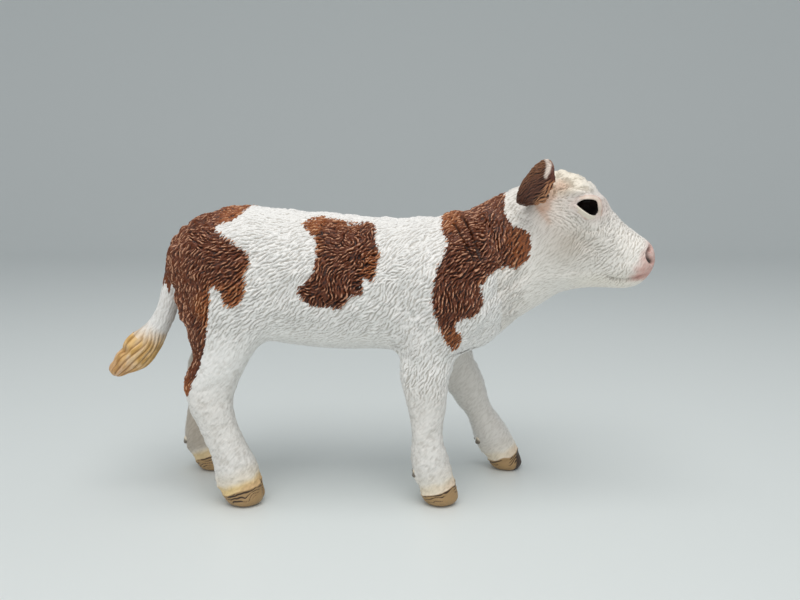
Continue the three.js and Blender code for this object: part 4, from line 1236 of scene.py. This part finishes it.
def makeEar(label, side, material):  # phi runs round the section, u along the ear
    u = np.linspace(0.0, 1.0, ear["rows"])[:, None]
    phi = circle(ear["columns"])
    fine = smoothLine(np.stack([ear[key] for key in ("share", "width", "depth", "wall")], -1), 200)
    width, depth, wall = (np.interp(u, fine[:, 0], fine[:, k]) for k in (1, 2, 3))
    theta = ear["curl"] * np.cos(phi)
    thick = wall / 2 * np.sin(phi)
    across = (width + thick) * np.sin(theta)
    outward = (depth + thick) * np.sign(np.cos(theta)) * np.abs(np.cos(theta)) ** 0.85
    way = ear["way"]
    up = unit(ear["up"] - way * (ear["up"] @ way))
    back = unit(np.cross(way, up))
    back = back if back[0] < 0 else -back
    grid = earPose["root"] - 0.9 * way + (u * ear["length"])[..., None] * way
    grid = grid + across[..., None] * up + outward[..., None] * (back - ear["droop"] * up)
    grid = grid + (u * u)[..., None] * (ear["curve"][1] * up - ear["curve"][0] * back)
    grid[..., 1] *= side
    grid = fromHead(grid)
    normals = normalsOf(grid, grid - grid.mean(1, keepdims=True))
    onBack = ramp(np.sin(phi), -0.3, 0.2) + 0 * u
    rimward = ramp(np.abs(np.cos(phi)), 0.86, 0.99) + 0 * u
    along = unit(np.gradient(grid, axis=0))
    along = unit(along + 0.9 * noise(grid, 1.3, 71)[..., None] * np.cross(normals, along))
    hair = strokes(grid, along, np.cross(normals, along), (0.75, 0.36, 0.36, 3, 0.4, 0.6), 72)
    ends = ramp(np.minimum(u, 1 - u), 0.0, 0.05)
    height = hair * ends * (0.04 + 0.05 * onBack) + 0.09 * noise(grid, 1.2, 73) * onBack * ends
    lower = ramp(-np.cos(phi), 0.7, 0.95) * ends
    height = height + lower * 0.22 * ramp(noise(grid, 0.55, 75), -0.1, 0.7)
    points = grid + normals * height[..., None]
    upper = np.cos(phi) + 0 * u
    local = toHead(grid)
    ragged = 0.12 * noise(grid, 0.5, 74)
    painted = {}
    for mark, (line, halfWidth) in earPaint.items():
        away = toSegments(local, np.array(line)) + ragged
        painted[mark] = np.exp(-(away / halfWidth) ** 4) * (onBack if mark == "stripe" else 1)
    values = {
        "relief": hair,
        "back": onBack,
        "rim": rimward,
        "upper": upper,
        **painted,
    }
    piece = gridMesh("ear_" + label + "_blade", points, values)
    dress(piece.name, piece, material, ["ear_" + label])


earColours = {
    "dark": ((0.080, 0.026, 0.013), (0.19, 0.075, 0.030)),  # at the lower and the upper edge, the upper edge painted lighter as lit from above
    # painted highlight on the ridges, lighter at the upper edge as lit from above
    "light": ((0.18, 0.075, 0.042), (0.40, 0.20, 0.10)),
    # painted shade in the grooves
    "grooveShade": (0.022, 0.008, 0.005),
    "red": (0.10, 0.022, 0.012),
    "foot": (0.52, 0.25, 0.12),
    "cup": (0.12, 0.04, 0.03),
    "deepCup": (0.42, 0.22, 0.17),
    "stripe": (0.70, 0.60, 0.53),
}


def earMaterial():
    # Dark brown back with lighter strokes as painted highlights and painted shade in the grooves, its
    # upper edge painted lighter as lit from above; rust at the root, pale hair at the tip and in the cup.
    material, tree, shader, height = vinyl("ear paint", 0.45, 0.05)
    lines, mottle = hairNode(tree)
    relief = measured(tree, "relief")
    # painted shade in the grooves, painted highlight on the ridges, the upper edge painted lighter as lit
    # from above
    grooveShade = mapped(tree, maths(tree, "MULTIPLY_ADD", lines, -0.4, relief), -1.1, 0.1, 1.0, 0.0)
    ridgeHighlight = maths(tree, "MULTIPLY", mapped(tree, relief, 0.1, 0.9), 0.5)
    litFromAbove = mapped(tree, measured(tree, "upper"), -0.3, 0.8)
    red = maths(tree, "MULTIPLY", measured(tree, "red"), 0.6)
    foot = maths(tree, "MULTIPLY", measured(tree, "foot"), mapped(tree, relief, -0.8, 0.5))
    cup = mapped(tree, measured(tree, "back"), 0.6, 0.2)
    deepCup = maths(tree, "MULTIPLY", cup, mapped(tree, measured(tree, "rim"), 0.7, 0.1))
    pale = maths(tree, "MULTIPLY", measured(tree, "stripe"), mapped(tree, mottle, 0.2, 0.5, 0.6, 1.0))
    colour = mixed(tree, ridgeHighlight, mixed(tree, litFromAbove, *earColours["dark"]),
                   mixed(tree, litFromAbove, *earColours["light"]))
    for amount, label in ((grooveShade, "grooveShade"), (red, "red"), (maths(tree, "MULTIPLY", foot, 0.85), "foot"),
                          (cup, "cup"), (maths(tree, "MULTIPLY", deepCup, 0.8), "deepCup"),
                          (pale, "stripe")):
        colour = mixed(tree, amount, colour, earColours[label])
    tree.links.new(colour, shader.inputs["Base Color"])
    tree.links.new(lines, height)
    return material


# Eyes: a glossy ball in a socket, framed by a lid that follows the opening.

def eyeMaterial():
    material, tree, shader, height = vinyl("eye gloss", 0.12, 0.002)
    shader.inputs["Specular IOR Level"].default_value = 0.02
    place = added(tree, "TexCoord", {})["Object"]
    speck = noiseNode(tree, place, 900, 2.0)
    colour = mixed(tree, mapped(tree, speck, 0.45, 0.7), (0.0015, 0.001, 0.001),
                   (0.004, 0.0025, 0.002))
    tree.links.new(colour, shader.inputs["Base Color"])
    tree.links.new(speck, height)
    return material


def makeEye(label, side, material, lidPaint):  # the ball is a sphere on the eye's place
    a = np.linspace(0.03, np.pi - 0.03, 72)[:, None]
    b = circle(120)
    ball = np.stack([np.sin(a) * np.cos(b), np.cos(a) + 0 * b, np.sin(a) * np.sin(b)], -1)
    place = eye["place"] * np.array([1, side, 1])
    piece = gridMesh("eye_" + label + "_ball", fromHead(place + ball * eye["ball"]))
    dress(piece.name, piece, material, ["eye_" + label])
    # The lid: a small rounded profile carried round the opening, lying on the ball.
    line = smoothLine(eye["opening"], 240, closed=True)
    way = unit(np.roll(line, -1, 0) - np.roll(line, 1, 0))
    out = np.stack([-way[:, 1], way[:, 0]], -1)
    out *= np.sign((out * (line - line.mean(0))).sum())
    p = circle(40)
    corner = bell(line[:, 0] - line[:, 0].min(), 0.5)[:, None]
    height = line[:, 1] + 0.6 * (line[:, 0] - 28.3)
    below, low = (ramp(height, top, eye["lowerLid"][2])[:, None] for top in eye["lowerLid"][:2])
    wide = eye["lidWidth"] * (1 - 0.3 * corner + 0.5 * below)
    push = wide * (0.82 + np.cos(p))
    rise = eye["lidHeight"] * np.sin(p) + eye["lidRidge"] * bell(p - np.pi * 0.75, 0.7)
    flat = line[:, None] + out[:, None] * push[..., None]
    off = np.linalg.norm(line - eye["place"][[0, 2]], axis=1)
    onBall = np.sqrt(np.maximum(eye["ball"] ** 2 - off ** 2, 0.1))[:, None]
    level = eye["place"][1] + onBall + eye["lidLift"] - eye["lidSlope"] * push + rise
    grid = np.stack([flat[..., 0], side * level, flat[..., 1]], -1)
    sclera = np.maximum(low, 0.45) * ramp(push / wide, 1.5, 0.9)
    ring = ringMesh("eyelid_" + label, fromHead(grid), {"sclera": sclera})
    dress(ring.name, ring, lidPaint, [])


def lidMaterial():
    material, tree, shader, height = vinyl("eyelid", 0.42, 0.02)
    place = added(tree, "TexCoord", {})["Object"]
    fine = noiseNode(tree, place, 1500, 3.0)
    colour = mixed(tree, mapped(tree, fine, 0.3, 0.7), (0.60, 0.42, 0.35), (0.74, 0.62, 0.55))
    colour = mixed(tree, measured(tree, "sclera"), colour, (0.77, 0.71, 0.60))
    tree.links.new(colour, shader.inputs["Base Color"])
    tree.links.new(fine, height)
    return material


coatPaint = coatMaterial("coat paint")
makeTorso(coatPaint)
makeHead(coatMaterial("face paint", 0.03, paint["faceWhite"], paint["crown"]))
legPaint = coatMaterial("leg paint", 0.03)
for legName in legNames:
    makeLeg(legName, legPaint)
makeTail(coatMaterial("tail paint", 0.03, creamPaint=paint["tuft"]))
earColour, eyeColour, lidColour = earMaterial(), eyeMaterial(), lidMaterial()
for label, side in (("right", -1), ("left", 1)):
    makeEar(label, side, earColour)
    makeEye(label, side, eyeColour, lidColour)
discard(bodyForm)
discard(tailForm)


# Studio: a pale floor that curves up into a backdrop, one broad lamp over the figure, soft fill.

studio = {
    "floor": (0.74, 0.78, 0.775),
    "key": 0.57,  # watts
    "keyPlace": (0.0, -0.10, 0.30),
    "keySize": 0.26,
    "front": 0.2,
    "frontPlace": (-0.05, -0.26, 0.03),
    "fill": 0.50,
    "camera": (3.34 * mm, (middleY - 96.26) * mm, 39.55 * mm),
    "pitch": math.atan(94 / 700),
    "lens": 31.5,
}


def makeFloor():
    # Swept profile: flat, a quarter circle of the given radius, then upright.
    back, radius, wide, tall = 0.45, 0.35, 1.6, 1.2
    turn = np.linspace(0, np.pi / 2, 24)
    profile = np.concatenate([[(-1.2, 0.0)],
                              np.stack([back + radius * np.sin(turn),
                                        radius - radius * np.cos(turn)], -1),
                              [(back + radius, tall)]])
    across = np.linspace(-wide, wide, 5)
    columns = len(across)
    grid = np.broadcast_arrays(across, profile[:, :1], profile[:, 1:])
    faces = gridFaces(len(profile), columns).reshape(-1, columns, 4)[:, :-1]  # open at the sides
    floor = meshObject("floor", np.stack(grid, -1).reshape(-1, 3), faces.reshape(-1, 4))
    mesh = floor.data
    mesh.polygons.foreach_set("use_smooth", np.ones(len(mesh.polygons), bool))
    material = bpy.data.materials.new("pale floor")
    material.use_nodes = True
    shader = material.node_tree.nodes["Principled BSDF"]
    shader.inputs["Base Color"].default_value = (*studio["floor"], 1)
    shader.inputs["Roughness"].default_value = 0.4
    mesh.materials.append(material)


def makeLights():
    world = bpy.data.worlds.new("soft fill")
    world.use_nodes = True
    world.node_tree.nodes["Background"].inputs["Color"].default_value = (0.95, 0.975, 1.0, 1)
    world.node_tree.nodes["Background"].inputs["Strength"].default_value = studio["fill"]
    bpy.context.scene.world = world
    for label in ("key", "front"):
        lamp = bpy.data.lights.new(label, "AREA")
        lamp.energy = studio[label]
        lamp.size = studio["keySize"]
        lamp.color = (1.0, 0.985, 0.96)
        light = bpy.data.objects.new(label, lamp)
        light.location = studio[label + "Place"]
        away = np.array(studio[label + "Place"]) - np.array([0, 0, 0.02])
        light.rotation_euler = (math.atan2(math.hypot(away[0], away[1]), away[2]), 0,
                                math.atan2(away[0], -away[1]))
        bpy.context.scene.collection.objects.link(light)


def makeCamera():
    lens = bpy.data.cameras.new("camera")
    lens.lens = studio["lens"]
    lens.sensor_width = 36
    lens.clip_start = 0.005
    camera = bpy.data.objects.new("camera", lens)
    camera.location = studio["camera"]
    camera.rotation_euler = (math.pi / 2 - studio["pitch"], 0, 0)
    bpy.context.scene.collection.objects.link(camera)
    bpy.context.scene.camera = camera


makeFloor()
makeLights()
makeCamera()
bpy.context.scene.view_settings.view_transform = "Standard"
print("studio ready")
